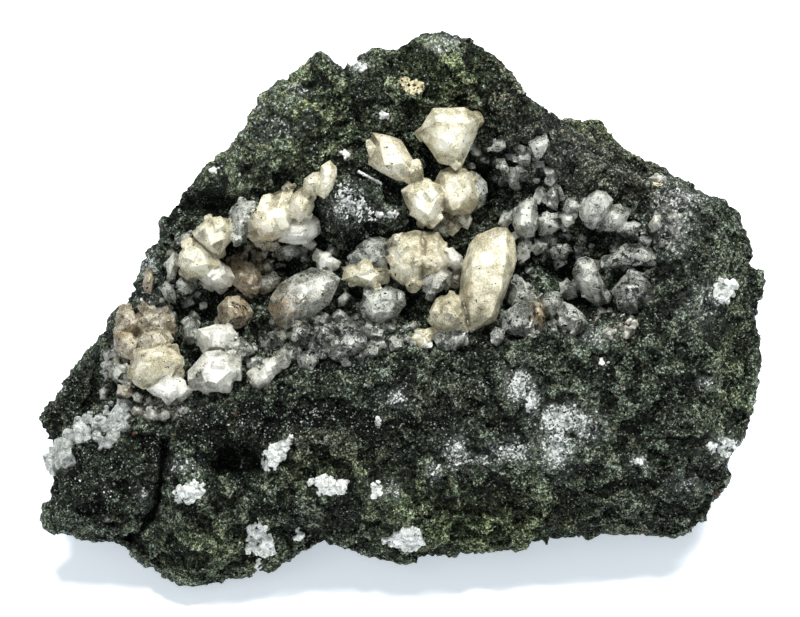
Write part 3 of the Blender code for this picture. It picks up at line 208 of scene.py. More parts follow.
def soft_noise(place, size, height, smoothness, finer_by, rounds):
    """The height of soft noise at a place, added up in rounds that get finer."""
    return height * noise.fractal(place / size, smoothness, finer_by, rounds)


def rounded_grains(place, size, height):
    """The height of rounded grains at a place, negative in the seams between them."""
    return height * (GRAIN_TOP - noise.voronoi(place / size)[0][0])


def rock_relief(place):
    """How far the broken surface stands out at a place."""
    height = soft_noise(place, **LUMPS) + soft_noise(place, **BREAKS)
    height += rounded_grains(place, **GRAINS)
    height += rounded_grains(place, **FINE_GRAINS)
    return height + FILLING - PIT_DEPTH * pit_depth(place)


print(f"at one place the rock stands out by {rock_relief(on_face(0, 0, 0)) / MM:.2f} mm")

# %% [markdown]
# ## The crack and the large pit
#
# Low on the left a crack runs down through the rock, and right of it is a pit that light doesn't reach.
# Both are carved straight into the face: the crack as a groove along a line of listed points, the pit as
# a deep oval. A few small peaks stand up along the upper edge, and they are raised in the same way.

# %% Crack, pits and peaks
CRACK = ((-22.2, -12.6), (-22.4, -15.4), (-22.7, -18.2), (-23.6, -19.7), (-26.1, -22.6))
CRACK_HALF_WIDTH = 0.36
CRACK_DEPTH = 2.2 * MM
HOLES = (
    (-15.0, -14.5, 2.3, 1.2, 2.6), (-18.6, 9.8, 3.0, 1.2, 2.0), (7.4, 12.6, 1.0, 2.2, 1.8),
    (15.3, 3.6, 1.1, 0.9, 1.6), (19.6, -0.4, 1.0, 0.9, 1.4), (-18.9, -0.4, 1.5, 1.0, 1.6),
    (-10.9, 4.2, 1.3, 0.8, 1.4), (-23.6, 1.0, 0.9, 1.2, 1.0), (-12.0, -6.0, 1.2, 0.6, 0.6),
)
PEAKS = (
    (-7.4, 22.4, 1.2, 1.5, 1.9), (-2.6, 24.6, 1.0, 1.0, 0.7), (12.8, 17.0, 0.9, 0.9, 0.7),
    (-11.2, 20.2, 1.0, 1.0, 0.5), (17.9, 16.7, 1.9, 1.1, 0.7), (3.6, 24.8, 3.2, 1.6, 0.6),
    (-33.6, -20.4, 1.6, 2.2, 0.7), (31.4, 9.4, 2.4, 1.8, 0.5),
)
OVAL_REACH = 4.0


def distance_to_line(u, v, line):
    """The distance on the face from a point to a line of points, in millimetres."""
    place = Vector((u, v))
    nearest = math.inf
    for start, end in zip(line, line[1:]):
        start, run = Vector(start), Vector(end) - Vector(start)
        share = min(max((place - start).dot(run) / run.length_squared, 0.0), 1.0)
        nearest = min(nearest, (place - start - share * run).length)
    return nearest


def off_oval(u, v, oval_u, oval_v, half_width, half_height):
    """How far points of the face are from an oval's middle, squared: 0 in the middle and 1 on its edge."""
    return ((u - oval_u) / half_width) ** 2 + ((v - oval_v) / half_height) ** 2


def carving(u, v):
    """How deep the crack and the holes go at a point of the face, or how high a peak stands if negative."""
    off_line = distance_to_line(u, v, CRACK) / CRACK_HALF_WIDTH
    depth = CRACK_DEPTH * math.exp(-off_line * off_line)
    for *oval, deep in HOLES:
        off_middle = off_oval(u, v, *oval)
        if off_middle < OVAL_REACH:
            depth = max(depth, deep * MM * math.exp(-off_middle * off_middle))
    for *oval, high in PEAKS:
        off_middle = off_oval(u, v, *oval)
        if off_middle < OVAL_REACH:
            depth -= high * MM * math.exp(-off_middle)
    return depth


print(f"the crack is {carving(*CRACK[0]) / MM:.1f} mm deep, beside {len(HOLES)} holes and {len(PEAKS)} peaks")

# %% [markdown]
# ## Raising the relief
#
# Each corner moves by its own height, and a little sideways, because broken grains have undercut edges. How
# high it stands among its neighbours is stored as a number from 0 to 1, which the finish uses to paint shade
# into the hollows. The foot stays flat on the floor.

# %% Raise the relief
JITTER = 0.045 * MM
LOWEST, HIGHEST = -0.28 * MM, 0.62 * MM
CARVED_SHADE = 0.3
SEED = 11
draw = random.Random(SEED)
net.normal_update()
relief = net.verts.layers.float.new("relief")
moves = []
for corner in net.verts:
    height = rock_relief(corner.co)
    u, v, w = to_face(corner.co)
    deep = carving(u, v)
    move = corner.normal * height + Vector([draw.uniform(-JITTER, JITTER) for _ in range(3)])
    if deep < 0.0:
        move -= corner.normal * deep
    elif corner.normal.dot(OUT_OF_FACE) > 0.0:
        move -= OUT_OF_FACE * deep
        # painted shade: the crack and holes count as lower, so the finish darkens them
        height -= CARVED_SHADE * deep
    corner[relief] = min(max((height - LOWEST) / (HIGHEST - LOWEST), 0.0), 1.0)
    moves.append(move)
for corner, move in zip(net.verts, moves):
    corner.co += move
    corner.co.z = max(corner.co.z, 0.0)
finished_rock = BVHTree.FromBMesh(net)
print(f"raised the relief at {len(moves)} corners")

# %% [markdown]
# ## Two halves
#
# A mesh of this many faces is easier to handle in two halves. They share the corners along the seam, and
# the faces are shaded flat like broken grains, so that nothing shows where they meet.

# %% Halves of the rock
def rock_half(name, side):
    """The faces on one side of the middle, with side -1 for the left and 1 for the right."""
    half = net.copy()
    others = [face for face in half.faces if side * face.calc_center_median().x < 0.0]
    bmesh.ops.delete(half, geom=others, context="FACES")
    data = bpy.data.meshes.new(name)
    half.to_mesh(data)
    half.free()
    print(f"{name} has {sum(len(face.vertices) - 2 for face in data.polygons)} triangles")
    return link(bpy.data.objects.new(name, data))


rock_halves = (rock_half("rock_left", -1), rock_half("rock_right", 1))
net.free()

# %% [markdown]
# ## Patches of other colours on the rock
#
# The rock isn't one colour: it is olive along its foot and at the upper left, purplish brown on the ridge
# behind the hollow, and dusted with white grains in places. Each such area is a listed soft oval on the
# face. What is stored is only how much of that colour there is; the finish breaks it up into grains. The
# colours stay on the side that faces the viewer.

# %% Colour areas
OLIVE = (
    (8.0, -20.5, 10.0, 3.6, 1.0), (-17.0, -22.5, 7.0, 3.0, 0.55), (-10.0, 18.5, 5.5, 5.0, 1.0),
    (4.0, 22.5, 6.0, 3.4, 0.9), (-6.0, -15.5, 6.0, 2.4, 0.6), (0.0, -18.0, 6.0, 3.0, 0.7),
    (-16.5, 14.0, 3.5, 3.0, 0.8), (17.6, 17.9, 1.9, 1.1, 1.0), (20.4, 16.8, 2.0, 1.1, 1.0),
    (23.4, 15.2, 2.0, 1.1, 1.0), (31.5, -5.0, 2.0, 7.0, 0.5),
)
PURPLE = (
    (14.5, 14.5, 6.5, 3.6, 1.0), (21.5, 11.5, 3.6, 2.6, 0.9), (4.0, -8.5, 5.0, 2.0, 0.4),
    (-7.0, -12.5, 5.0, 1.6, 0.5), (-14.0, 3.0, 3.0, 2.0, 0.5), (10.5, 19.5, 3.0, 2.4, 0.8),
)
DUST = (
    (-4.9, 9.9, 1.7, 1.4, 0.95), (-1.0, 8.9, 1.2, 0.6, 0.6), (15.2, -10.4, 2.1, 1.3, 1.2),
    (14.8, -13.3, 1.4, 1.8, 1.15), (17.4, -11.2, 1.5, 1.3, 0.8), (11.2, -7.2, 1.2, 1.4, 1.1),
    (12.6, -8.8, 0.7, 1.3, 1.0), (5.2, -13.6, 1.2, 1.4, 0.9), (10.6, -13.4, 2.2, 0.9, 0.8),
    (8.0, -14.2, 1.8, 0.7, 0.6), (3.2, -15.4, 0.7, 0.9, 0.7), (22.5, -14.4, 0.7, 0.5, 0.9),
    (30.8, -13.1, 1.7, 0.9, 1.0), (25.8, 8.5, 1.7, 3.2, 0.85), (27.5, 10.4, 1.6, 0.8, 0.7),
    (-0.5, -8.4, 1.2, 0.9, 0.55), (29.0, -7.0, 0.9, 0.6, 0.6), (-1.0, -17.2, 1.4, 1.0, 0.5),
    (-22.0, -9.4, 2.4, 1.0, 0.6), (-20.6, -14.8, 1.4, 0.8, 0.45), (4.0, 25.0, 1.6, 0.9, 0.6),
    (-9.8, 20.6, 1.6, 0.7, 0.6), (-4.0, 23.0, 1.2, 0.6, 0.8), (27.0, -16.6, 1.6, 1.0, 0.4),
    (18.6, -2.6, 1.6, 1.0, 0.6), (28.6, 0.6, 2.0, 2.4, 0.35), (-24.0, -17.6, 0.6, 1.2, 0.5),
    (-23.8, 3.0, 0.8, 2.4, 0.9), (-12.0, 18.0, 4.0, 3.5, 0.28), (-16.5, 14.0, 3.0, 2.5, 0.2),
    (14.0, 14.6, 4.0, 2.6, 0.2),
)
GOLD = ((1.4, 20.9, 1.1, 0.8, 1.0), (24.4, 12.0, 0.7, 0.4, 0.9), (0.5, 21.5, 0.6, 0.5, 0.9))
BLACK = (
    (-12.0, -10.4, 11.0, 1.9, 1.0), (-24.0, -12.6, 3.0, 1.4, 0.7), (3.0, -7.4, 6.0, 1.4, 0.5),
    (-4.0, 9.2, 2.9, 3.8, 1.0), (-28.6, -16.6, 3.8, 3.6, 0.8),
)
RUST = (
    (-15.5, -9.8, 0.20, 0.15, 1.0), (-25.1, -11.8, 0.16, 0.14, 1.0), (23.0, -21.3, 0.2, 0.2, 1.0),
    (30.1, -17.4, 0.2, 0.3, 1.0),
)


def amount(u, v, ovals):
    """How much the ovals cover points of the face, which is what the strongest of them gives."""
    most = np.zeros(np.shape(u))
    for *oval, strength in ovals:
        most = np.maximum(most, strength * np.exp(-off_oval(u, v, *oval)))
    return most


def face_places(mesh):
    """The u and v of all corners of a mesh, as two arrays."""
    places = np.array([to_face(corner.co)[:2] for corner in mesh.vertices])
    return places[:, 0], places[:, 1]


def store(mesh, name, values, domain="POINT"):
    """Keeps one number for each corner or each face of a mesh, which its finish can read."""
    attribute = mesh.attributes.new(name, "FLOAT", domain)
    attribute.data.foreach_set("value", np.array(values, np.float32))


FACING_FADE, FACING_SHIFT = 0.3, 0.6
AREAS = {"olive": OLIVE, "purple": PURPLE, "dust": DUST, "gold": GOLD, "black": BLACK, "rust": RUST}
for half in rock_halves:
    us, vs = face_places(half.data)
    directions = np.empty(3 * len(us), np.float32)
    half.data.vertex_normals.foreach_get("vector", directions)
    facing = directions.reshape(-1, 3) @ np.array(OUT_OF_FACE)
    seen = np.clip(facing / FACING_FADE + FACING_SHIFT, 0.0, 1.0)
    for area, ovals in AREAS.items():
        store(half.data, area, seen * amount(us, vs, ovals))
print("stored for the rock:", ", ".join(AREAS))

# %% [markdown]
# ## Writing a finish as arithmetic
#
# A finish is a net of nodes, and much of it is plain arithmetic on numbers that change over the surface.
# This small class wraps one socket of the net, so that the arithmetic can be written as arithmetic: an
# expression such as 1 - mask adds the Math node for it. Every other node comes from its one method node().

# %% The socket class
class Link:
    """One output of a finish's net of nodes."""

    def __init__(self, tree, socket=None):
        self.tree = tree
        self.socket = socket

    def node(self, kind, settings=None, values=None, output=0):
        """Adds a node, applies its settings, then fills its sockets, and gives one of its outputs."""
        made = self.tree.nodes.new(kind)
        for name, setting in (settings or {}).items():
            if name == "stops":
                set_stops(made.color_ramp, setting)
            else:
                setattr(made, name, setting)
        for name, value in (values or {}).items():
            if isinstance(value, Link):
                self.tree.links.new(value.socket, made.inputs[name])
            else:
                made.inputs[name].default_value = value
        return Link(self.tree, made.outputs[output])

    def math(self, operation, *values):
        """A Math node with this as its first value."""
        return self.node("ShaderNodeMath", {"operation": operation}, dict(enumerate((self, *values))))

    def __add__(self, other):
        return self.math("ADD", other)

    def __sub__(self, other):
        return self.math("SUBTRACT", other)

    def __mul__(self, other):
        return self.math("MULTIPLY", other)

    def __rsub__(self, other):
        return self.math("MULTIPLY_ADD", -1.0, other)

    __radd__ = __add__
    __rmul__ = __mul__

    def step(self, low, high):
        """0 below low, 1 above high and a smooth slope between them."""
        return self.node(
            "ShaderNodeMapRange", {"interpolation_type": "SMOOTHSTEP"},
            {"Value": self, "From Min": low, "From Max": high},
        )

    def colours(self, *stops):
        """A colour read off a ramp, whose stops are (position, red, green, blue)."""
        return self.node("ShaderNodeValToRGB", {"stops": stops}, {"Fac": self})

    def blend(self, below, above):
        """The colour below where this is 0 and the colour above where it is 1."""
        return self.node(
            "ShaderNodeMix", {"data_type": "RGBA"}, {"Factor": self, 6: below, 7: above}, output=2
        )

    def tint(self, colour):
        """This colour times another."""
        settings = {"data_type": "RGBA", "blend_type": "MULTIPLY"}
        return self.node("ShaderNodeMix", settings, {"Factor": 1.0, 6: self, 7: colour}, output=2)


def set_stops(ramp, stops):
    while len(ramp.elements) < len(stops):
        ramp.elements.new(1.0)
    for element, (position, *colour) in zip(ramp.elements, stops):
        element.position = position
        element.color = (*colour, 1.0)


print("sockets can now be added, subtracted and multiplied")

# %% [markdown]
# ## Building blocks of every finish
#
# All finishes of this specimen are made of the same few patterns: grains with random colours, soft clouds,
# stored numbers and bumps. They are measured in millimetres, so that a size in the code is a size on the
# specimen.

# %% Start a finish
PER_METRE = 1.0 / MM


def start_finish(name):
    """A new material, its shader, and the place on the surface in millimetres."""
    material = bpy.data.materials.new(name)
    material.use_nodes = True
    tree = material.node_tree
    shader = tree.nodes["Principled BSDF"]
    spot = Link(tree).node("ShaderNodeTexCoord", output="Object")
    place = spot.node("ShaderNodeVectorMath", {"operation": "SCALE"}, {0: spot, "Scale": PER_METRE})
    return material, shader, place


def feed(shader, **sockets):
    """Fills the shader's sockets; an underscore in a name stands for a space."""
    for name, value in sockets.items():
        socket = shader.inputs[name.replace("_", " ")]
        if isinstance(value, Link):
            value.tree.links.new(value.socket, socket)
        else:
            socket.default_value = value


def stored(place, name):
    """A number that was stored for each corner or face of the mesh."""
    return place.node("ShaderNodeAttribute", {"attribute_name": name}, output="Fac")


def cells(place, size, output="Distance"):
    """Grains of the given size in millimetres: the distance to a grain's middle, or its random colour."""
    settings = {"voronoi_dimensions": "3D", "feature": "F1"}
    return place.node("ShaderNodeTexVoronoi", settings, {"Vector": place, "Scale": 1.0 / size}, output)


def clouds(place, size, detail=3.0, rough=0.55):
    """Soft noise of the given size in millimetres."""
    values = {"Vector": place, "Scale": 1.0 / size, "Detail": detail, "Roughness": rough}
    return place.node("ShaderNodeTexNoise", {}, values, "Fac")


def part_of(colour, channel):
    """The red, green or blue of a colour as a number."""
    return colour.node("ShaderNodeSeparateColor", {}, {"Color": colour}, channel)


def random_part(place, size, channel):
    """A random number for each grain of the given size, another one for each channel."""
    return part_of(cells(place, size, "Color"), channel)


def bumped(height, depth, normal=None):
    """A normal for a height from 0 to 1 that is raised by a depth in millimetres."""
    values = {"Strength": 1.0, "Distance": depth * MM, "Height": height}
    if normal is not None:
        values["Normal"] = normal
    return height.node("ShaderNodeBump", {}, values)


print(f"one metre of the specimen is {PER_METRE:.0f} units of a finish")

# %% [markdown]
# ## Facets that glint
#
# The rock sparkles because every grain breaks along its own plane and reflects another part of the sky.
# That is easy to imitate: each small cell gets a random direction, and the surface's own direction is
# pushed that way. The pushed direction feeds the shader, and the bump of the finest roughness is laid over
# it.

# %% Facet directions
HALF = (0.5, 0.5, 0.5)


def facet_direction(place, size, push):
    """The surface's direction, pushed another way in each grain."""
    surface = place.node("ShaderNodeNewGeometry", output="Normal")
    chance = cells(place, size, "Color")
    centred = chance.node("ShaderNodeVectorMath", {"operation": "SUBTRACT"}, {0: chance, 1: HALF})
    pushed = centred.node(
        "ShaderNodeVectorMath", {"operation": "MULTIPLY_ADD"}, {0: centred, 1: (push, push, push), 2: surface}
    )
    return pushed.node("ShaderNodeVectorMath", {"operation": "NORMALIZE"}, {0: pushed})


print("each grain can now face its own way")

# %% [markdown]
# ## The dark rock's finish
#
# Seen close, the rock is a mosaic of grains from black over green-grey to pale grey. The colour of a grain
# is drawn at random and darkened where the relief stands low: painted shade, and the dirt that hollows
# hold. The olive and purple areas tint it, and where it is dusted, a share of the grains turns white. A few
# fine grains are painted pale grey as glints. Only some grains are glossy.

# %% Dark rock
COARSE, FINE, FLAKE, SPARK = 0.27, 0.13, 0.17, 0.12
ROCK_STOPS = (
    (0.00, 0.0010, 0.0013, 0.0010), (0.30, 0.006, 0.009, 0.006), (0.52, 0.034, 0.044, 0.030),
    (0.74, 0.112, 0.134, 0.098), (0.98, 0.42, 0.46, 0.37),
)
HUE_STOPS = ((0.0, 1.0, 0.88, 0.78), (0.5, 0.96, 1.0, 0.92), (1.0, 0.84, 0.97, 1.0))
NO_TINT, OLIVE_TINT, PURPLE_TINT = (1, 1, 1, 1), (1.42, 1.44, 0.98, 1), (1.18, 0.94, 1.02, 1)
HAZE_GREY, FLAKE_WHITE, SPARK_GREY = (0.35, 0.39, 0.36, 1), (0.70, 0.74, 0.71, 1), (0.43, 0.50, 0.44, 1)
GOLD_GRAIN, RUST_RED = (0.78, 0.71, 0.46, 1), (0.15, 0.045, 0.025, 1)
GRAIN_PUSH = 1.7


def dusted(place, colour):
    """The rock's colour with its white dusting: a grey haze, and single white flakes in it."""
    dust = stored(place, "dust")
    flakes = 0.5 * clouds(place, 0.8, 4.0) + 0.5 * clouds(place, 0.36, 4.0, 0.7)
    haze = 0.72 * dust * flakes.step(0.40, 0.56)
    colour = haze.blend(colour, HAZE_GREY)
    white = 0.60 * random_part(place, FLAKE, "Blue") + 1.2 * flakes + 0.55 * dust - 1.00
    return white.step(0.27, 0.38).blend(colour, FLAKE_WHITE)


def dark_rock():
    material, shader, place = start_finish("dark_rock")
    grain = cells(place, COARSE, "Color")
    fine_grain = cells(place, FINE, "Color")
    black = stored(place, "black")
    olive = stored(place, "olive")
    shade = 0.50 * part_of(grain, "Red") + 0.56 * part_of(fine_grain, "Green")
    # painted shade: the stored relief darkens the grains in the hollows
    shade = shade + 0.28 * clouds(place, 2.0, 4.0) + 0.46 * stored(place, "relief")
    shade = shade + 0.03 * olive - 0.27 * black - 0.415
    colour = shade.colours(*ROCK_STOPS)
    hue = part_of(grain, "Blue").colours(*HUE_STOPS)
    olive_tint = olive.blend(NO_TINT, OLIVE_TINT)
    purple_tint = stored(place, "purple").blend(NO_TINT, PURPLE_TINT)
    colour = dusted(place, colour.tint(hue).tint(olive_tint).tint(purple_tint))
    # painted glints: a few fine grains are coloured pale grey
    sparkle = random_part(place, SPARK, "Blue") + 0.14 * clouds(place, 1.6) + 0.03 * black
    sparkle = (sparkle - 0.02 * olive - 0.055).step(0.98, 1.0)
    colour = (0.75 * sparkle).blend(colour, SPARK_GREY)
    gold = (stored(place, "gold") + 0.8 * clouds(place, 0.5, 4.0) - 0.4).step(0.42, 0.52)
    gold = gold * part_of(grain, "Green").step(0.10, 0.20)
    colour = gold.blend(colour, GOLD_GRAIN)
    colour = stored(place, "rust").step(0.2, 0.6).blend(colour, RUST_RED)
    gloss = part_of(fine_grain, "Blue").step(0.60, 0.95)
    fine = clouds(place, 0.14, 2.0) + 0.6 * part_of(fine_grain, "Green")
    feed(
        shader, Base_Color=colour, Roughness=0.80 - 0.70 * gloss, Specular_IOR_Level=0.15,
        Normal=bumped(fine, 0.11, facet_direction(place, COARSE, GRAIN_PUSH)),
    )
    return material


rock_finish = dark_rock()
for half in rock_halves:
    half.data.materials.clear()
    half.data.materials.append(rock_finish)
    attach(half, "root")
    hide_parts("matrix")
print("the rock has its finish")

# %% [markdown]
# ## The cream crystals
#
# Each larger crystal was read off the specimen: how far it stands out of the rock, its outline seen from
# the front, and the corners of its front facets. A facet corner may have a third number, its difference in
# height. The cream ones are the largest and the cloudiest, and they stand in the middle of the hollow.

# %% Cream crystals
CREAM_CRYSTALS = (
    (5.6, ((1.8, 16.6), (2.8, 15.4), (3.7, 13.9), (5.7, 13.4), (7.1, 16.3), (7.5, 18.0), (6.0, 18.9),
           (3.2, 18.8)),
     ((3.4, 17.6), (6.5, 17.5), (5.5, 15.0, -0.2), (3.7, 15.1, -0.2))),
    (4.4, ((-2.9, 15.2), (-2.5, 16.5), (-0.9, 16.2), (0.1, 15.8), (0.7, 13.7), (2.0, 12.6), (1.1, 12.0),
           (-0.3, 12.1), (-1.9, 13.0), (-2.9, 13.6)),
     ((-1.9, 15.6), (-0.5, 15.3), (0.2, 13.4), (-1.5, 13.6), (0.9, 12.7, -0.4))),
    (5.4, ((0.2, 11.1), (1.2, 11.8), (2.6, 12.0), (3.7, 11.6), (4.1, 10.9), (4.0, 9.3), (3.3, 8.0),
           (2.2, 8.0), (1.3, 8.8), (0.6, 9.9)),
     ((1.4, 10.9, -0.3), (2.8, 11.2, -0.4), (3.4, 10.2), (2.7, 8.8, 0.1), (1.6, 9.5))),
    (4.8, ((3.5, 12.3), (3.9, 13.0), (5.0, 13.4), (6.2, 13.1), (6.9, 12.4), (7.3, 10.2), (6.7, 9.1),
           (5.2, 9.0), (4.0, 9.4)),
     ((4.3, 12.3), (5.9, 12.3), (6.5, 10.6), (5.2, 9.8, 0.1), (4.3, 10.5))),
    (7.2, ((7.3, 6.8), (9.0, 7.5), (10.0, 7.4), (10.7, 6.5), (10.9, 4.5), (10.1, 2.1), (9.0, -0.9),
           (6.7, -2.0), (5.7, 1.4), (6.0, 4.0), (6.6, 5.9)),
     ((6.9, 4.0, -0.3), (9.9, 4.2, -0.5), (9.4, 1.5, -0.2), (8.6, -0.8, -0.6), (6.6, -0.6, -0.8),
      (6.3, 1.6, -0.4))),
    (5.2, ((2.6, -1.1), (3.2, -0.1), (3.8, 0.8), (4.8, 1.5), (5.8, 1.0), (6.3, -0.6), (6.3, -2.1),
           (3.6, -2.1)),
     ((3.9, -0.8, -0.3), (4.8, 0.4, -0.1), (5.5, -0.8, 0.2), (4.6, -1.5, -0.1))),
    (4.8, ((-1.0, 5.9), (0.3, 7.0), (1.4, 7.3), (2.0, 7.2), (2.9, 4.4), (1.6, 2.1), (0.1, 2.4), (-0.7, 3.1),
           (-0.9, 4.3)),
     ((0.3, 6.0, -0.3), (1.8, 6.3, -0.2), (1.8, 4.0), (0.2, 3.8, -0.3))),
    (5.2, ((1.8, 7.2), (3.6, 7.1), (4.3, 6.0), (4.1, 5.3), (4.6, 4.1), (3.6, 2.9), (2.2, 3.1), (1.6, 4.8)),
     ((2.6, 6.3, -0.3), (3.5, 5.4, -0.1), (3.4, 3.9, -0.1), (2.4, 4.3))),
    (4.6, ((-5.4, 2.7), (-5.2, 3.6), (-4.7, 4.4), (-3.0, 4.4), (-1.4, 3.4), (-1.8, 2.7), (-2.2, 1.9),
           (-3.6, 2.1), (-4.7, 2.6)),
     ((-4.3, 3.7, -0.3), (-3.0, 3.8), (-2.3, 3.1), (-2.8, 2.6, 0.1), (-4.1, 3.1))),
    (5.4, ((-14.6, 8.0), (-14.3, 9.2), (-12.7, 9.8), (-11.2, 10.9), (-10.3, 10.9), (-10.0, 9.0),
           (-10.6, 7.4), (-12.0, 6.5), (-13.4, 6.5), (-14.2, 7.2)),
     ((-13.3, 8.6, -0.3), (-11.6, 9.6, -0.4), (-10.9, 8.4, -0.1), (-12.3, 7.5), (-13.4, 7.6, -0.1))),
    (5.0, ((-10.8, 9.4), (-10.2, 10.7), (-9.3, 11.4), (-8.2, 10.7), (-8.1, 9.7), (-8.5, 8.7), (-9.6, 8.5),
           (-10.6, 8.8)),
     ((-9.9, 10.1, -0.1), (-8.9, 10.3, -0.2), (-9.2, 9.2, 0.1))),
    (4.2, ((-9.2, 11.0), (-9.0, 12.2), (-8.2, 12.8), (-7.4, 12.9), (-7.2, 12.0), (-7.9, 10.6)),
     ((-8.5, 11.9), (-7.8, 12.0))),
    (3.4, ((-7.9, 10.9), (-7.7, 11.8), (-7.4, 13.4), (-6.6, 13.9), (-6.0, 13.2), (-6.0, 12.4), (-6.4, 11.3),
           (-7.1, 10.4)),
     ((-7.1, 12.9, -0.3), (-6.5, 12.8, -0.2), (-7.0, 11.3, 0.1))),
    (4.8, ((-19.4, 6.8), (-19.2, 7.6), (-18.1, 8.5), (-17.3, 8.6), (-16.1, 8.4), (-15.9, 7.4), (-16.0, 6.5),
           (-17.0, 5.2), (-17.7, 5.2), (-18.8, 6.2)),
     ((-18.4, 7.6, -0.2), (-16.9, 7.8, -0.1), (-16.6, 6.6), (-17.8, 6.0))),
    (5.0, ((-20.9, 4.2), (-20.8, 5.2), (-19.9, 6.1), (-19.0, 6.3), (-17.5, 5.2), (-16.9, 4.0), (-18.0, 3.1),
           (-20.1, 3.0)),
     ((-19.8, 5.0, -0.3), (-18.6, 5.2, -0.1), (-18.2, 4.2), (-19.6, 3.9, -0.1))),
    (5.4, ((-24.6, -4.1), (-22.9, -3.7), (-21.6, -3.8), (-20.5, -4.6), (-20.4, -5.3), (-21.3, -6.5),
           (-22.7, -7.0), (-24.1, -7.5), (-24.9, -7.1), (-25.4, -6.2), (-25.1, -5.3)),
     ((-24.1, -5.0, -0.3), (-22.6, -4.5, -0.1), (-21.4, -5.0, -0.3), (-22.4, -6.1), (-24.0, -6.4, -0.3))),
    (2.2, ((1.0, -2.8), (1.8, -2.1), (3.0, -1.8), (3.6, -2.2), (2.9, -3.4), (2.2, -4.4), (1.2, -3.6)),
     ((2.0, -2.8, -0.1), (2.7, -2.5, -0.1), (2.1, -3.6))),
)
print(len(CREAM_CRYSTALS), "cream crystals")

# %% [markdown]
# ## The white crystals
#
# The white ones are cleaner than the cream ones. Most of them sit at the left of the hollow or against the
# foot of a cream crystal, so they are lower and show only part of their outline.

# %% White crystals
WHITE_CRYSTALS = (
    (5.2, ((4.1, 5.6), (4.9, 5.7), (5.9, 4.9), (5.9, 3.9), (5.1, 3.6), (4.4, 4.3)),
     ((4.8, 5.1), (5.4, 4.5, -0.1))),
    (3.4, ((5.2, 8.9), (6.5, 9.3), (6.8, 8.4), (6.4, 7.5), (5.4, 8.0)), ((6.0, 8.5),)),
    (4.2, ((-8.3, 4.9), (-7.9, 5.7), (-6.8, 5.0), (-5.6, 4.4), (-5.9, 3.8), (-6.6, 3.4), (-7.6, 4.0)),
     ((-7.5, 4.9), (-6.4, 4.3))),
    (5.0, ((-11.3, 7.8), (-9.9, 8.6), (-8.5, 8.8), (-7.9, 7.8), (-7.8, 7.0), (-8.7, 6.2), (-9.9, 6.1),
           (-11.4, 6.4)),
     ((-10.2, 7.7, -0.1), (-8.9, 7.8, -0.2), (-9.2, 6.9, -0.1), (-10.6, 6.9))),
    (4.6, ((-18.9, 3.6), (-17.2, 4.4), (-16.2, 3.9), (-15.6, 2.9), (-16.0, 2.1), (-17.0, 1.9), (-18.2, 2.2),
           (-19.1, 2.9)),
     ((-17.8, 3.5), (-16.7, 3.3, -0.1), (-17.2, 2.6))),
    (4.2, ((-23.8, -7.6), (-22.7, -6.9), (-21.2, -6.4), (-20.3, -6.8), (-20.1, -7.6), (-20.6, -8.3),
           (-22.0, -8.5), (-23.1, -8.2)),
     ((-22.8, -7.5, -0.2), (-21.1, -7.2, -0.2), (-21.9, -7.8))),
    (4.4, ((-19.1, -3.2), (-19.0, -2.0), (-17.4, -1.5), (-16.0, -1.7), (-15.4, -2.5), (-16.0, -3.4),
           (-17.1, -4.0), (-18.6, -4.2)),
     ((-18.3, -2.6, -0.2), (-16.8, -2.3, -0.2), (-17.5, -3.3))),
    (4.6, ((-19.9, -6.9), (-19.9, -5.9), (-19.0, -4.9), (-18.4, -4.2), (-17.0, -4.0), (-15.7, -4.5),
           (-15.1, -5.4), (-15.1, -6.2), (-16.0, -7.1), (-17.2, -7.8), (-18.4, -7.8), (-19.3, -7.5)),
     ((-18.7, -6.1, -0.2), (-17.9, -4.9, -0.2), (-16.4, -5.0), (-16.0, -5.9), (-17.1, -6.9),
      (-18.3, -6.9, -0.2))),
    (2.6, ((-10.6, -4.4), (-11.4, -4.2), (-12.3, -5.0), (-13.1, -5.9), (-13.9, -6.6), (-13.9, -7.3),
           (-13.2, -7.7), (-12.6, -7.5), (-12.0, -6.6), (-11.7, -5.5)),
     ((-13.0, -6.7), (-12.2, -5.6), (-11.3, -4.8, -0.4))),
    (2.4, ((-22.2, 4.4), (-21.4, 5.3), (-20.9, 5.0), (-21.0, 4.0), (-21.3, 2.8), (-21.9, 2.6)),
     ((-21.5, 4.3),)),
    (1.7, ((-23.9, -9.9), (-23.5, -9.2), (-22.9, -9.7), (-22.8, -10.5), (-23.4, -10.3)), ((-23.3, -9.8),)),
    (1.7, ((-22.8, -10.1), (-22.4, -9.4), (-21.7, -9.7), (-21.7, -10.3), (-22.4, -10.5)), ((-22.2, -9.9),)),
    (2.0, ((-25.2, -8.2), (-24.8, -7.8), (-24.2, -8.3), (-24.4, -8.9), (-25.0, -8.7)), ((-24.7, -8.3),)),
    (2.6, ((15.2, 8.8), (15.9, 9.1), (16.7, 8.9), (16.5, 8.1), (15.8, 7.7), (15.4, 8.1)), ((16.0, 8.5),)),
    (1.8, ((23.4, 7.9), (24.0, 8.8), (24.6, 8.8), (24.6, 7.6), (23.8, 7.2)), ((24.1, 8.1),)),
    (1.6, ((23.6, 12.4), (24.4, 12.8), (25.3, 12.5), (25.0, 11.9), (24.2, 11.8)), ((24.5, 12.4),)),
    (1.6, ((19.0, -2.3), (19.6, -1.7), (20.3, -2.1), (20.0, -2.8), (19.3, -2.9)), ((19.6, -2.3),)),
)
print(len(WHITE_CRYSTALS), "white crystals")
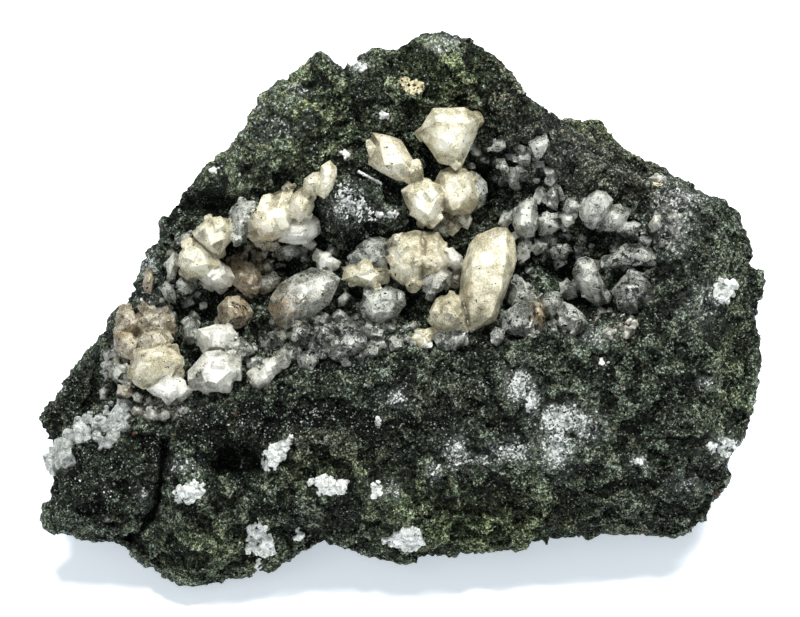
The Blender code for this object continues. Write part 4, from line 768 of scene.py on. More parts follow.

# %% [markdown]
# ## The grey crystals
#
# The grey ones are half clear, and the dark rock shows through them. They line the right of the hollow and
# fill the gaps between the large ones. Listed outlines give each one its place; a random scatter couldn't.

# %% Grey crystals
GREY_CRYSTALS = (
    (3.8, ((6.4, 12.9), (7.3, 12.8), (8.2, 11.9), (8.3, 11.0), (8.0, 9.9), (7.0, 9.2), (6.6, 10.0)),
     ((7.2, 11.9), (7.5, 10.6))),
    (2.2, ((2.9, 7.6), (3.9, 8.2), (4.8, 7.6), (4.5, 6.8), (3.4, 7.0)), ((3.8, 7.5),)),
    (4.6, ((2.0, 2.6), (2.8, 3.6), (4.2, 3.8), (4.9, 3.3), (4.6, 2.4), (4.0, 1.7), (2.9, 1.2), (2.2, 1.7)),
     ((3.2, 2.9), (3.9, 2.7, -0.1))),
    (3.6, ((-4.6, 4.8), (-4.0, 5.9), (-3.0, 6.6), (-1.9, 6.8), (-1.2, 6.0), (-1.0, 4.9), (-1.4, 3.9),
           (-3.0, 4.3)),
     ((-3.0, 5.6, -0.1), (-1.9, 5.8), (-2.0, 4.7, 0.1))),
    (4.4, ((-3.8, 0.2), (-3.2, 1.2), (-2.2, 1.7), (-1.0, 2.0), (-0.1, 1.7), (0.4, 1.0), (0.2, 0.1),
           (-0.3, -0.7), (-1.4, -1.2), (-2.6, -1.7), (-3.4, -0.8)),
     ((-2.8, 0.6, -0.2), (-1.2, 1.2), (-0.4, 0.6, -0.1), (-1.0, -0.3, 0.2), (-2.4, -0.5))),
    (2.6, ((-4.0, -1.4), (-2.9, -1.4), (-1.9, -2.2), (-2.3, -3.0), (-3.6, -2.6)), ((-2.9, -2.1),)),
    (2.6, ((-6.8, -4.4), (-6.0, -3.5), (-5.2, -2.9), (-4.7, -2.1), (-4.0, -2.3), (-3.3, -3.1), (-3.8, -4.1),
           (-5.0, -4.3), (-6.1, -4.8)),
     ((-5.2, -3.7), (-4.4, -3.0))),
    (2.2, ((-21.2, 6.5), (-20.1, 7.2), (-19.5, 7.1), (-19.7, 6.5), (-20.8, 6.2)), ((-20.2, 6.8),)),
    (4.4, ((-16.2, 8.4), (-15.9, 9.5), (-15.1, 10.3), (-13.8, 9.9), (-13.4, 9.3), (-14.3, 7.8),
           (-14.8, 6.4), (-15.5, 6.1), (-16.0, 7.0)),
     ((-15.3, 9.4, -0.1), (-14.5, 9.0), (-15.1, 7.8))),
    (3.2, ((-11.6, 5.9), (-10.0, 6.1), (-9.4, 5.3), (-10.4, 4.7), (-11.5, 5.0)), ((-10.5, 5.5),)),
    (2.8, ((-13.2, 3.0), (-12.0, 3.3), (-11.3, 2.9), (-11.6, 2.1), (-12.6, 1.4), (-13.4, 1.8)),
     ((-12.3, 2.5),)),
    (2.8, ((-22.7, 1.8), (-22.2, 2.6), (-21.6, 2.2), (-21.2, 1.2), (-21.3, 0.4), (-22.2, 0.9)),
     ((-21.9, 1.6),)),
    (2.6, ((-21.2, 2.4), (-20.7, 3.0), (-19.6, 2.6), (-19.7, 1.7), (-20.4, 1.3), (-21.1, 1.6)),
     ((-20.4, 2.2),)),
    (3.6, ((-20.7, -2.1), (-19.8, -0.9), (-19.2, -1.1), (-19.0, -2.2), (-19.2, -3.1), (-19.8, -3.4),
           (-20.4, -2.9)),
     ((-20.0, -1.7), (-19.6, -2.5, 0.1))),
    (3.6, ((-16.4, -3.2), (-15.0, -2.7), (-14.2, -3.4), (-13.7, -4.2), (-14.5, -4.6), (-15.6, -4.4),
           (-16.6, -4.0)),
     ((-15.3, -3.5), (-14.6, -3.9, -0.1))),
    (3.0, ((-28.1, -5.1), (-27.2, -5.0), (-26.0, -5.4), (-25.2, -6.3), (-25.2, -7.3), (-26.0, -7.3),
           (-27.0, -6.5)),
     ((-26.0, -6.2), (-27.2, -5.5, -0.6))),
    (2.4, ((-28.5, -7.8), (-28.0, -7.4), (-27.6, -7.9), (-27.8, -8.6), (-28.3, -8.6)), ((-28.0, -8.0),)),
    (4.0, ((10.7, 8.0), (10.8, 9.2), (11.3, 9.9), (12.2, 10.5), (12.9, 10.4), (13.0, 9.0), (12.9, 7.7),
           (12.6, 6.9), (11.8, 6.8), (11.0, 7.3)),
     ((11.5, 9.3, -0.1), (12.4, 9.4, -0.1), (12.3, 7.7, 0.1), (11.4, 7.9))),
    (3.0, ((12.9, 8.6), (13.9, 9.2), (14.7, 8.7), (15.1, 7.6), (14.2, 6.9), (13.2, 7.0)),
     ((13.8, 8.1), (14.4, 7.8, -0.1))),
    (2.2, ((13.9, 10.8), (14.4, 12.0), (14.9, 11.6), (15.1, 10.3), (14.8, 9.3), (14.0, 9.7)),
     ((14.5, 10.7),)),
    (4.0, ((17.0, 8.8), (17.2, 9.8), (17.9, 10.7), (18.6, 11.1), (19.4, 11.0), (20.1, 10.2), (19.8, 9.2),
           (19.0, 8.2), (18.3, 7.5), (17.6, 7.8)),
     ((18.0, 10.0, -0.1), (19.1, 10.1, -0.1), (19.0, 9.0, 0.1), (18.0, 8.9))),
    (3.6, ((18.9, 7.8), (19.4, 8.8), (20.0, 9.7), (20.8, 9.9), (21.6, 8.9), (21.0, 7.9), (20.3, 7.3),
           (19.3, 7.4)),
     ((19.9, 8.7), (20.7, 8.9, -0.1), (20.2, 8.0, 0.1))),
    (2.4, ((15.4, 9.4), (15.9, 10.3), (16.7, 10.6), (17.1, 9.9), (16.8, 9.1), (15.8, 9.0)), ((16.3, 9.8),)),
    (2.2, ((20.6, 7.2), (21.2, 8.0), (22.1, 8.3), (23.0, 7.9), (22.4, 7.0), (21.4, 6.6)), ((21.7, 7.5),)),
    (2.4, ((12.3, 15.5), (12.8, 16.1), (13.8, 16.4), (14.1, 15.6), (13.4, 14.3), (12.8, 14.2)),
     ((13.2, 15.5),)),
    (2.4, ((8.4, 15.0), (9.0, 15.9), (9.9, 16.2), (10.0, 15.2), (9.2, 14.8)), ((9.3, 15.5),)),
    (2.4, ((9.1, 14.2), (9.9, 14.2), (10.4, 13.2), (10.4, 12.3), (9.8, 12.6), (9.2, 13.5)), ((9.8, 13.4),)),
    (3.4, ((10.6, 2.2), (11.0, 3.0), (11.5, 2.9), (12.2, 2.0), (12.8, 1.0), (12.5, 0.2), (11.2, -0.1),
           (10.2, 0.6)),
     ((11.2, 2.2, -0.2), (11.9, 1.2), (10.9, 0.9))),
    (3.2, ((9.8, -0.4), (11.3, 0.6), (12.6, 0.5), (13.2, -0.8), (13.0, -2.0), (12.3, -2.8), (11.0, -2.4),
           (9.6, -2.2)),
     ((10.6, -0.7, -0.1), (12.0, -0.4, -0.1), (12.3, -1.8), (10.9, -1.7))),
    (1.8, ((8.5, -2.4), (9.0, -1.7), (9.9, -2.0), (9.8, -2.9), (9.2, -3.6), (8.6, -3.2)), ((9.2, -2.6),)),
    (3.6, ((13.0, 0.9), (13.8, 1.5), (14.7, 1.4), (15.4, 0.7), (15.0, -0.4), (14.4, -1.2), (13.5, -0.4)),
     ((13.9, 0.8), (14.6, 0.5))),
    (3.4, ((14.9, -0.4), (15.5, 0.6), (16.2, 0.3), (17.2, -0.5), (17.7, -1.4), (17.1, -2.2), (16.5, -2.6),
           (16.0, -2.2), (15.2, -1.3)),
     ((15.7, -0.3, -0.1), (16.7, -0.9), (16.5, -1.8))),
    (4.2, ((16.3, 3.4), (16.8, 4.6), (17.6, 4.8), (18.3, 4.5), (19.0, 3.0), (19.6, 1.4), (19.6, 0.8),
           (18.8, 0.2), (17.6, 1.0), (16.7, 2.2)),
     ((17.2, 3.8, -0.2), (18.0, 3.7, -0.1), (18.9, 1.8), (17.8, 2.0, 0.2))),
    (2.8, ((19.4, 4.3), (20.2, 5.2), (21.2, 5.9), (22.6, 6.0), (23.6, 5.4), (24.4, 4.6), (24.0, 4.0),
           (22.8, 4.4), (21.0, 4.3)),
     ((21.3, 5.1), (22.9, 5.1))),
    (3.0, ((20.0, 1.6), (20.9, 2.8), (21.8, 3.6), (23.0, 3.3), (23.8, 2.0), (23.9, 0.8), (23.0, 0.1),
           (21.8, 0.0), (20.8, 0.6)),
     ((21.6, 2.6, -0.1), (22.8, 2.4), (22.8, 1.1, 0.1), (21.6, 1.2))),
    (2.2, ((14.1, 5.4), (14.8, 6.1), (15.9, 6.1), (16.3, 5.5), (15.6, 4.9), (14.6, 4.8)), ((15.2, 5.5),)),
    (2.2, ((12.4, 5.6), (13.0, 6.6), (13.9, 6.2), (13.6, 5.4), (12.9, 5.0)), ((13.2, 5.9),)),
    (2.4, ((11.2, 6.0), (11.8, 6.9), (12.4, 6.3), (12.3, 4.9), (11.4, 4.2), (11.1, 4.8)), ((11.8, 5.6),)),
    (2.0, ((15.2, 2.2), (15.8, 2.9), (16.6, 2.0), (16.8, 1.1), (15.8, 0.8), (15.2, 1.3)), ((15.9, 1.9),)),
    (2.2, ((9.3, 8.0), (9.8, 9.3), (10.6, 9.3), (10.7, 8.3), (10.0, 7.6)), ((10.1, 8.5),)),
    (2.8, ((-9.9, -1.3), (-8.8, -1.2), (-8.2, -2.2), (-8.6, -3.2), (-9.7, -3.8), (-10.4, -2.8)),
     ((-9.2, -2.2),)),
    (2.2, ((-7.6, -1.8), (-6.6, -1.6), (-6.1, -2.8), (-6.4, -3.8), (-7.4, -4.0), (-7.9, -3.0)),
     ((-7.0, -2.7),)),
    (1.8, ((-9.9, -4.2), (-8.6, -4.0), (-7.8, -5.0), (-8.3, -5.9), (-9.5, -5.6)), ((-8.9, -4.9),)),
    (2.6, ((-5.9, 0.9), (-5.2, 1.6), (-4.6, 1.2), (-5.2, 0.3), (-5.8, 0.2)), ((-5.2, 0.9),)),
    (2.4, ((-12.0, -2.3), (-11.0, -2.1), (-10.6, -2.9), (-10.9, -3.8), (-11.7, -3.4)), ((-11.2, -2.9),)),
    (1.8, ((3.8, -2.2), (5.4, -2.0), (6.4, -2.2), (5.9, -3.4), (5.2, -4.0), (3.9, -3.5), (3.4, -2.9)),
     ((4.6, -2.8), (5.5, -3.0, -0.1))),
    (5.2, ((-12.3, 0.0), (-12.1, 1.1), (-11.3, 2.3), (-9.9, 3.1), (-8.4, 3.8), (-6.5, 3.3), (-5.8, 2.7),
           (-6.1, 1.9), (-6.8, 0.4), (-8.0, -0.4), (-9.8, -0.9), (-10.6, -1.8), (-11.4, -1.5)),
     ((-11.2, 0.6, -0.6), (-10.3, 1.9, -0.5), (-8.4, 2.7, -0.6), (-7.0, 2.4, -0.8), (-7.6, 0.9, -0.2),
      (-9.6, 0.0), (-10.6, -0.5, -0.4))),
)
print(len(GREY_CRYSTALS), "grey crystals")

# %% [markdown]
# ## The brown crystals
#
# The brown ones are stained by iron from the rock, and etched, so they look dull. The four kinds together
# make one list, and a crystal's place in it is its kind.

# %% Brown crystals
BROWN_CRYSTALS = (
    (2.8, ((3.4, 8.2), (4.0, 9.2), (5.6, 8.8), (5.8, 7.8), (5.0, 6.9), (4.2, 7.2)), ((4.5, 8.2),)),
    (3.0, ((-1.4, 6.1), (-0.6, 7.0), (0.3, 7.2), (0.4, 6.5), (-0.8, 5.8)), ((-0.4, 6.5),)),
    (2.6, ((4.8, 3.4), (5.9, 3.6), (6.2, 2.8), (5.4, 1.9), (4.6, 2.0)), ((5.4, 2.8),)),
    (3.2, ((-14.2, 6.7), (-12.6, 6.6), (-11.4, 6.3), (-12.0, 5.4), (-13.6, 5.8)), ((-12.8, 6.2),)),
    (2.8, ((-11.2, 11.4), (-10.6, 12.0), (-10.0, 11.6), (-10.2, 10.9), (-11.0, 10.8)), ((-10.6, 11.5),)),
    (2.4, ((-16.0, 4.6), (-14.2, 4.4), (-13.2, 3.4), (-13.4, 1.7), (-14.6, 1.2), (-15.9, 2.4)),
     ((-14.8, 3.4), (-14.2, 2.4))),
    (4.2, ((-17.2, 0.2), (-16.3, 1.1), (-15.2, 1.1), (-14.4, 0.4), (-13.9, -0.4), (-14.4, -1.4),
           (-15.2, -1.8), (-16.2, -1.8), (-17.1, -1.2)),
     ((-16.2, 0.2), (-15.2, 0.2), (-14.8, -0.7), (-16.1, -0.9, 0.1))),
    (2.2, ((-24.4, 2.4), (-24.1, 3.6), (-23.6, 3.8), (-23.4, 2.8), (-23.7, 1.4), (-24.2, 1.6)),
     ((-23.9, 2.6),)),
    (3.0, ((-26.8, -0.4), (-26.1, 0.4), (-25.3, -0.2), (-24.5, -1.2), (-24.5, -2.0), (-25.6, -2.7),
           (-26.9, -2.2)),
     ((-26.0, -0.7, -0.1), (-25.2, -1.3))),
    (3.4, ((-27.0, -2.2), (-25.4, -2.4), (-24.7, -3.2), (-24.8, -4.4), (-25.2, -4.9), (-26.3, -4.5),
           (-27.0, -3.5)),
     ((-26.2, -3.0, -0.1), (-25.4, -3.6))),
    (3.4, ((-24.8, -1.0), (-24.2, 0.0), (-23.2, -0.1), (-21.9, -0.3), (-21.4, -0.9), (-21.6, -1.8),
           (-23.2, -1.7), (-24.6, -1.6)),
     ((-23.8, -0.8), (-22.4, -0.9))),
    (4.8, ((-24.7, -3.1), (-24.1, -2.1), (-23.1, -1.9), (-21.9, -2.1), (-21.4, -2.9), (-21.9, -3.8),
           (-22.9, -4.2), (-24.1, -4.0)),
     ((-23.8, -2.9, -0.2), (-22.3, -2.8, -0.2), (-22.9, -3.5))),
    (2.8, ((-26.6, -7.2), (-25.3, -7.3), (-25.1, -8.1), (-25.8, -8.5), (-26.7, -8.1)), ((-25.9, -7.8),)),
    (3.4, ((12.6, 0.6), (13.2, 0.5), (13.7, -0.9), (13.5, -1.7), (12.8, -1.6), (12.5, -0.6)),
     ((13.1, -0.5),)),
)
KINDS = (CREAM_CRYSTALS, WHITE_CRYSTALS, GREY_CRYSTALS, BROWN_CRYSTALS)
print("crystals of each kind:", [len(kind) for kind in KINDS])

# %% [markdown]
# ## From outline to crystal
#
# A crystal has flat faces and no dents, so its body is the hull of a few points: its root in the rock, its
# widest outline and the corners of its front facets. The outline's height is a share of the crystal's own
# height, and the height starts at the measured rock, which a ray finds.

# %% One crystal's points
CRYSTAL_ROOT = 2.2
CRYSTAL_WAIST = 0.66
CRYSTAL_SPREAD = 1.06
CRYSTAL_ROOT_SPREAD = 0.8
RAY_START = 28.0


def surface_of(mesh):
    """A mesh as a surface that rays can be shot at."""
    corners = [corner.co for corner in mesh.vertices]
    return BVHTree.FromPolygons(corners, [face.vertices for face in mesh.polygons])


measured_rock = surface_of(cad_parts["matrix"].data)


def height_on(surface, u, v):
    """The w of a surface at a point of the face, or None beside it."""
    hit = surface.ray_cast(on_face(u, v, RAY_START), -OUT_OF_FACE)[0]
    return None if hit is None else to_face(hit)[2]


def middle_of(outline):
    return sum(u for u, v in outline) / len(outline), sum(v for u, v in outline) / len(outline)


def spread(outline, share):
    """The outline made wider or narrower about its middle."""
    middle_u, middle_v = middle_of(outline)
    return [(middle_u + (u - middle_u) * share, middle_v + (v - middle_v) * share) for u, v in outline]


def crystal_points(tall, outline, corners, ground):
    points = [on_face(u, v, ground + CRYSTAL_WAIST * tall) for u, v in spread(outline, CRYSTAL_SPREAD)]
    points += [on_face(u, v, ground - CRYSTAL_ROOT) for u, v in spread(outline, CRYSTAL_ROOT_SPREAD)]
    points += [on_face(u, v, ground + tall + sum(difference)) for u, v, *difference in corners]
    return points


print(f"the rock's face is at {height_on(measured_rock, 0.0, 0.0):.1f} mm in its middle")

# %% [markdown]
# ## A heap of hulls
#
# Everything that grows on the rock is first a heap of hulls, each with a kind. The heap keeps one list of
# corners and one of faces, and remembers for each face which hull it belongs to, so that the finished
# surface can look up what it is made of.

# %% The heap
NO_SPAN = (0.0, 0.0, math.inf, math.inf)


class Heap:
    """Hulls that will be melted into one skin."""

    def __init__(self):
        self.corners = []
        self.faces = []
        self.owners = []
        self.kinds = []
        self.spans = []

    def add(self, points, kind, span=None):
        """Adds the hull of points; its span is the middle and half size on the face of its crystal."""
        hull = bmesh.new()
        for point in points:
            hull.verts.new(point)
        bmesh.ops.convex_hull(hull, input=hull.verts, use_existing_faces=False)
        hull.verts.index_update()
        first = len(self.corners)
        self.corners += [corner.co.copy() for corner in hull.verts]
        self.faces += [[first + corner.index for corner in face.verts] for face in hull.faces]
        self.owners += [len(self.kinds)] * len(hull.faces)
        self.kinds.append(kind)
        self.spans.append(span or NO_SPAN)
        hull.free()

    def tree(self):
        return BVHTree.FromPolygons(self.corners, self.faces)


CREAM, WHITE, GREY, BROWN = range(4)
GROUPS = ("crystals_left", "crystals_upper_left", "crystals_middle", "crystals_right")


def group_of(u, v):
    """The group of crystals that a point of the face belongs to."""
    if u > 9.6:
        return "crystals_right"
    if u < -14.6 and v < 5.4:
        return "crystals_left"
    if u < -5.6 and v > 4.6:
        return "crystals_upper_left"
    return "crystals_middle"


print("the face's middle belongs to", group_of(0.0, 0.0))

# %% [markdown]
# ## Blocks on blocks
#
# A feldspar crystal is a leaning block whose corners are cut off, and a large one is never single: smaller
# blocks sit on its flanks and top, turned a little against it. Their re-entrant corners are what makes a
# crystal look grown instead of carved. The draw is seeded, so that the same crystals come out every time.

# %% Blocks
BLOCK_SIDES = ((0.55, 0.8), (0.6, 0.9), (0.75, 1.25))
MOST_LEAN = 0.35
CUTS = (0.35, 0.75)


def random_direction():
    z = draw.uniform(-1.0, 1.0)
    turn = draw.uniform(0.0, math.tau)
    flat = math.sqrt(1.0 - z * z)
    return Vector((flat * math.cos(turn), flat * math.sin(turn), z))


def turned_at_random(most=math.pi):
    """A turn about a random direction, by an angle up to the given one."""
    return Quaternion(random_direction(), draw.uniform(0.0, most))


def block_points(middle, radius, turn):
    """The points of a small leaning block with cut corners."""
    sides = Vector([draw.uniform(*side) for side in BLOCK_SIDES]) * radius
    lean = draw.uniform(-MOST_LEAN, MOST_LEAN)
    cut = draw.uniform(*CUTS)
    points = []
    for signs in itertools.product((-1.0, 1.0), repeat=3):
        for shortened in range(3):
            corner = Vector([sign * side for sign, side in zip(signs, sides)])
            corner[shortened] *= cut
            corner.x += lean * corner.z
            points.append(middle + turn @ corner)
    return points


print("a block's sides are drawn from", BLOCK_SIDES, "times its size")

# %% [markdown]
# ## Every crystal with its blocks
#
# A block on a flank sits near the outline, one on top sits near a facet's corner. The longest crystal stays
# clean, as it is on the specimen. Every crystal goes to the heap of its group.

# %% Crystals with their blocks
FLANK_CHANCE, FLANK_PLACE, FLANK_HEIGHTS, FLANK_SIZES = 0.50, 0.80, (0.30, 0.72), (0.11, 0.23)
TOP_BLOCKS, TOP_PLACES, TOP_SIZES, TOP_SINK = 3, (0.2, 0.8), (0.12, 0.24), 0.85
CLEAN_LENGTH = 8.0
LARGEST_TWIST = math.radians(22.0)
LARGEST_WIDTH = 4.5


def half_size(values):
    return 0.5 * (max(values) - min(values))


def add_crystal(heap, tall, outline, corners, kind):
    """Adds a large crystal and the nearly parallel smaller blocks on it; the longest crystal has none."""
    middle_u, middle_v = middle_of(outline)
    ground = height_on(measured_rock, middle_u, middle_v)
    half_width, half_height = half_size([u for u, v in outline]), half_size([v for u, v in outline])
    span = (middle_u, middle_v, half_width, half_height)
    heap.add(crystal_points(tall, outline, corners, ground), kind, span)
    width = min(2.0 * half_width, LARGEST_WIDTH)
    main_turn = Quaternion(OUT_OF_FACE, draw.uniform(0.0, math.tau)) @ turned_at_random(LARGEST_TWIST)
    if 2.0 * half_height > CLEAN_LENGTH:
        return
    for u, v in spread(outline, FLANK_PLACE):
        if draw.random() < FLANK_CHANCE:
            middle = on_face(u, v, ground + tall * draw.uniform(*FLANK_HEIGHTS))
            radius = width * draw.uniform(*FLANK_SIZES) * MM
            heap.add(block_points(middle, radius, main_turn @ turned_at_random(LARGEST_TWIST)), kind, span)
    for _ in range(TOP_BLOCKS):
        u, v, *difference = draw.choice(corners)
        near = draw.uniform(*TOP_PLACES)
        radius = width * draw.uniform(*TOP_SIZES)
        w = ground + tall + sum(difference) - TOP_SINK * radius
        middle = on_face(u + (middle_u - u) * near, v + (middle_v - v) * near, w)
        heap.add(block_points(middle, radius * MM, main_turn @ turned_at_random(LARGEST_TWIST)), kind, span)


heaps = {name: Heap() for name in GROUPS}
for kind, crystals in enumerate(KINDS):
    for tall, outline, corners in crystals:
        add_crystal(heaps[group_of(*middle_of(outline))], tall, outline, corners, kind)
print("hulls in each group:", {name: len(heap.kinds) for name, heap in heaps.items()})

# %% [markdown]
# ## Small crystals between the large ones
#
# The rock between the large crystals is overgrown with hundreds of small ones, half a millimetre to a
# millimetre and a half. They are drawn at random inside listed ovals, each a small block that sits on the
# finished rock.

# %% Small hulls
DRUSE = (
    (-6.5, -3.0, 5.2, 2.3, 90, 0.30, 0.80, GREY), (-9.8, -2.5, 2.3, 3.0, 30, 0.30, 0.75, GREY),
    (3.0, -2.8, 4.0, 1.2, 20, 0.25, 0.60, GREY), (-1.5, -2.6, 2.4, 1.4, 20, 0.25, 0.60, GREY),
    (12.6, 4.6, 2.6, 3.2, 15, 0.35, 0.80, GREY), (18.0, 6.4, 4.0, 2.2, 13, 0.30, 0.70, GREY),
    (11.6, 12.8, 3.0, 2.6, 26, 0.30, 0.80, GREY), (14.6, 9.4, 2.2, 2.0, 9, 0.30, 0.70, GREY),
    (22.4, 4.4, 2.2, 3.0, 12, 0.30, 0.70, GREY), (14.6, -1.8, 3.4, 1.2, 22, 0.25, 0.60, GREY),
    (20.4, -1.4, 2.2, 1.4, 20, 0.20, 0.50, WHITE), (25.8, 8.4, 1.7, 3.0, 80, 0.15, 0.36, GREY),
    (-25.6, -4.2, 1.7, 3.6, 40, 0.30, 0.80, BROWN), (-20.6, 1.6, 2.2, 3.4, 26, 0.25, 0.65, GREY),
    (-14.6, 3.2, 2.3, 2.2, 90, 0.20, 0.42, BROWN), (-22.6, -9.6, 2.6, 1.0, 40, 0.20, 0.50, WHITE),
    (-13.4, 4.8, 2.8, 1.4, 26, 0.25, 0.55, BROWN), (-8.6, 5.6, 2.6, 0.9, 18, 0.30, 0.60, GREY),
    (-0.6, 2.8, 1.6, 1.2, 12, 0.30, 0.60, GREY), (7.4, 14.4, 1.8, 2.0, 10, 0.30, 0.60, GREY),
    (-20.4, 5.6, 1.6, 1.6, 16, 0.25, 0.50, WHITE), (-12.6, -4.6, 1.8, 2.0, 18, 0.25, 0.60, GREY),
    (-27.0, -5.6, 1.4, 1.6, 12, 0.25, 0.60, GREY),
)
SMALL_SINK = 0.25
SMALL_SPAN = 1.4


def spots_in(oval_u, oval_v, half_width, half_height, count):
    """Random points of an oval of the face."""
    for _ in range(count):
        turn = draw.uniform(0.0, math.tau)
        out = math.sqrt(draw.random())
        yield oval_u + half_width * out * math.cos(turn), oval_v + half_height * out * math.sin(turn)


for *oval, smallest, largest, kind in DRUSE:
    for u, v in spots_in(*oval):
        radius = draw.uniform(smallest, largest)
        ground = height_on(finished_rock, u, v)
        middle = on_face(u, v, ground + SMALL_SINK * radius)
        span = (u, v, SMALL_SPAN * radius, SMALL_SPAN * radius)
        heaps[group_of(u, v)].add(block_points(middle, radius * MM, turned_at_random()), kind, span)
print("hulls in each group:", {name: len(heap.kinds) for name, heap in heaps.items()})

# %% [markdown]
# ## Melting a heap into one skin
#
# Crystals that grow into each other share one surface. The voxel remesh makes it: it keeps the outside of
# the heap and drops everything inside. It also rounds every edge a little, so each corner is then drawn
# back onto the hull it came from, which makes the facets flat and their edges crisp again. Fine relief is
# added in the same step, and then the flat parts are thinned out, which keeps the file small.

# %% Melt, sharpen and thin out
CRYSTAL_SQUARE = 0.10 * MM
CRYSTAL_THINNING = 0.24
SHARP_ANGLE = math.radians(14.0)
TERRACE_SIZE = 1.5 * MM
TERRACE_HEIGHT = 0.05 * MM
TERRACES = 3.0
ETCH_SIZE = 0.32 * MM
ETCH_HEIGHT = {CREAM: 0.0, WHITE: 0.0, GREY: 0.0, BROWN: 0.07 * MM}


def crystal_relief(place, kind):
    """How far a crystal's etched surface stands out at a place: growth steps and small hillocks."""
    steps = math.floor(TERRACES * noise.noise(place / TERRACE_SIZE)) / TERRACES
    return TERRACE_HEIGHT * steps + ETCH_HEIGHT[kind] * noise.noise(place / ETCH_SIZE)


def melt(name, heap, square):
    """One closed skin round all hulls of the heap."""
    data = bpy.data.meshes.new(name)
    data.from_pydata(heap.corners, [], heap.faces)
    obj = link(bpy.data.objects.new(name, data))
    even_squares(obj, square)
    return obj


def sharpen(obj, heap, relief):
    """Draws each corner of the skin back onto the nearest hull, and moves it out by that hull's relief."""
    lookup = heap.tree()
    skin = bmesh.new()
    skin.from_mesh(obj.data)
    skin.normal_update()
    for corner in skin.verts:
        flat_place, _, nearest, _ = lookup.find_nearest(corner.co)
        corner.co = flat_place + corner.normal * relief(corner.co, heap.kinds[heap.owners[nearest]])
    skin.to_mesh(obj.data)
    skin.free()


def thin_out(obj, share):
    decimate = obj.modifiers.new("Thin out", "DECIMATE")
    decimate.ratio = share
    apply_modifiers(obj)
    obj.data.validate()
    obj.data.shade_smooth()
    obj.data.set_sharp_from_angle(angle=SHARP_ANGLE)


crystal_pieces = {}
for name, heap in heaps.items():
    piece = melt(name, heap, CRYSTAL_SQUARE)
    sharpen(piece, heap, crystal_relief)
    thin_out(piece, CRYSTAL_THINNING)
    crystal_pieces[name] = piece
    print(f"{name}: {len(piece.data.polygons)} faces")

# %% [markdown]
# ## Cloudy, clear and stained places
#
# No crystal has one colour. Where it is cloudy it is bright, where it is clear the dark inside shows, and
# iron stains it brown. Some of the bright places are also painted light, where a crystal's front catches
# the light. Such places are soft ovals, listed like those of the rock.

# %% Cloudy, clear and stained places
# partly painted light: besides cloudy places, these ovals brighten crystal fronts where the light falls
CLOUDY_AND_PAINTED_LIGHT = (
    (8.8, 2.8, 3.2, 5.2, 0.6), (4.8, 16.2, 2.2, 2.4, 1.0), (-0.8, 14.4, 1.9, 1.7, 0.9),
    (2.3, 9.9, 1.6, 1.8, 0.8), (5.2, 11.2, 1.6, 1.8, 0.6), (-10.2, 8.3, 3.0, 1.9, 1.25),
    (-7.0, 12.2, 1.2, 1.8, 0.8), (-18.8, 5.0, 1.9, 1.8, 0.8), (-17.4, 2.9, 1.5, 1.0, 0.8),
    (-17.5, -5.9, 2.2, 1.7, 0.9), (-17.4, -2.7, 1.6, 1.1, 0.8), (-21.8, -7.6, 1.6, 0.8, 1.0),
    (-22.8, -5.4, 2.0, 1.4, 0.45), (-6.9, 4.6, 1.2, 0.9, 1.0), (5.0, 4.8, 0.9, 0.9, 1.0),
    (2.2, -2.8, 1.0, 1.2, 0.6), (3.2, 5.2, 1.4, 1.8, 0.2), (0.6, 5.0, 1.4, 1.8, 0.15),
    (-3.3, 3.4, 1.5, 0.9, 0.7), (-17.2, 7.2, 1.4, 1.2, 0.4), (18.8, 9.7, 2.0, 1.6, 0.55),
    (11.9, 8.6, 1.2, 1.8, 0.75), (17.6, 3.2, 0.8, 1.2, 0.5), (-1.6, 0.4, 1.4, 1.2, 0.5),
    (-12.4, -6.2, 1.0, 1.2, 0.4), (13.2, 15.2, 0.9, 0.9, 0.7), (22.0, 2.0, 1.4, 1.2, 0.3),
    (20.6, 8.4, 0.9, 0.8, 0.6), (13.9, 8.0, 0.8, 0.8, 0.5), (15.8, -0.9, 1.2, 1.0, 0.6),
    (11.6, -1.0, 1.2, 1.2, 0.3), (21.8, 5.0, 1.8, 0.6, 0.5), (-8.0, 1.8, 1.8, 1.5, 0.30),
    (-24.0, -3.2, 1.4, 1.2, 0.5), (-23.2, -1.0, 1.6, 0.8, 0.4), (-5.4, -3.4, 1.2, 0.8, 0.3),
    (-20.4, 1.9, 0.8, 0.6, 0.4), (14.2, 0.4, 0.8, 0.8, 0.4), (7.4, 11.0, 0.7, 1.4, 0.4),
    (-9.4, -1.6, 1.0, 0.8, 0.3), (16.0, 8.5, 0.7, 0.6, 0.8),
)
CLEAR = (
    (-21.4, -9.6, 2.4, 1.0, 1.2), (22.2, 1.6, 2.2, 1.8, 1.3), (-6.5, -3.0, 4.8, 2.1, 1.0),
    (21.5, 5.2, 2.8, 1.4, 1.15), (12.2, -1.2, 1.8, 1.4, 1.1), (-18.8, -6.5, 0.8, 0.8, 1.7),
    (-15.4, -0.2, 1.4, 1.4, 0.8), (16.2, -0.7, 1.4, 1.4, 0.9), (13.8, 0.5, 1.1, 1.0, 0.6),
    (4.6, -0.4, 1.6, 1.2, 0.5), (14.6, 5.0, 2.4, 1.6, 0.5), (10.8, 13.2, 2.4, 2.2, 0.4),
    (-11.5, -4.0, 1.6, 2.0, 0.5), (19.4, 1.6, 1.0, 2.0, 0.4), (12.0, 1.6, 1.0, 1.4, 0.5),
)
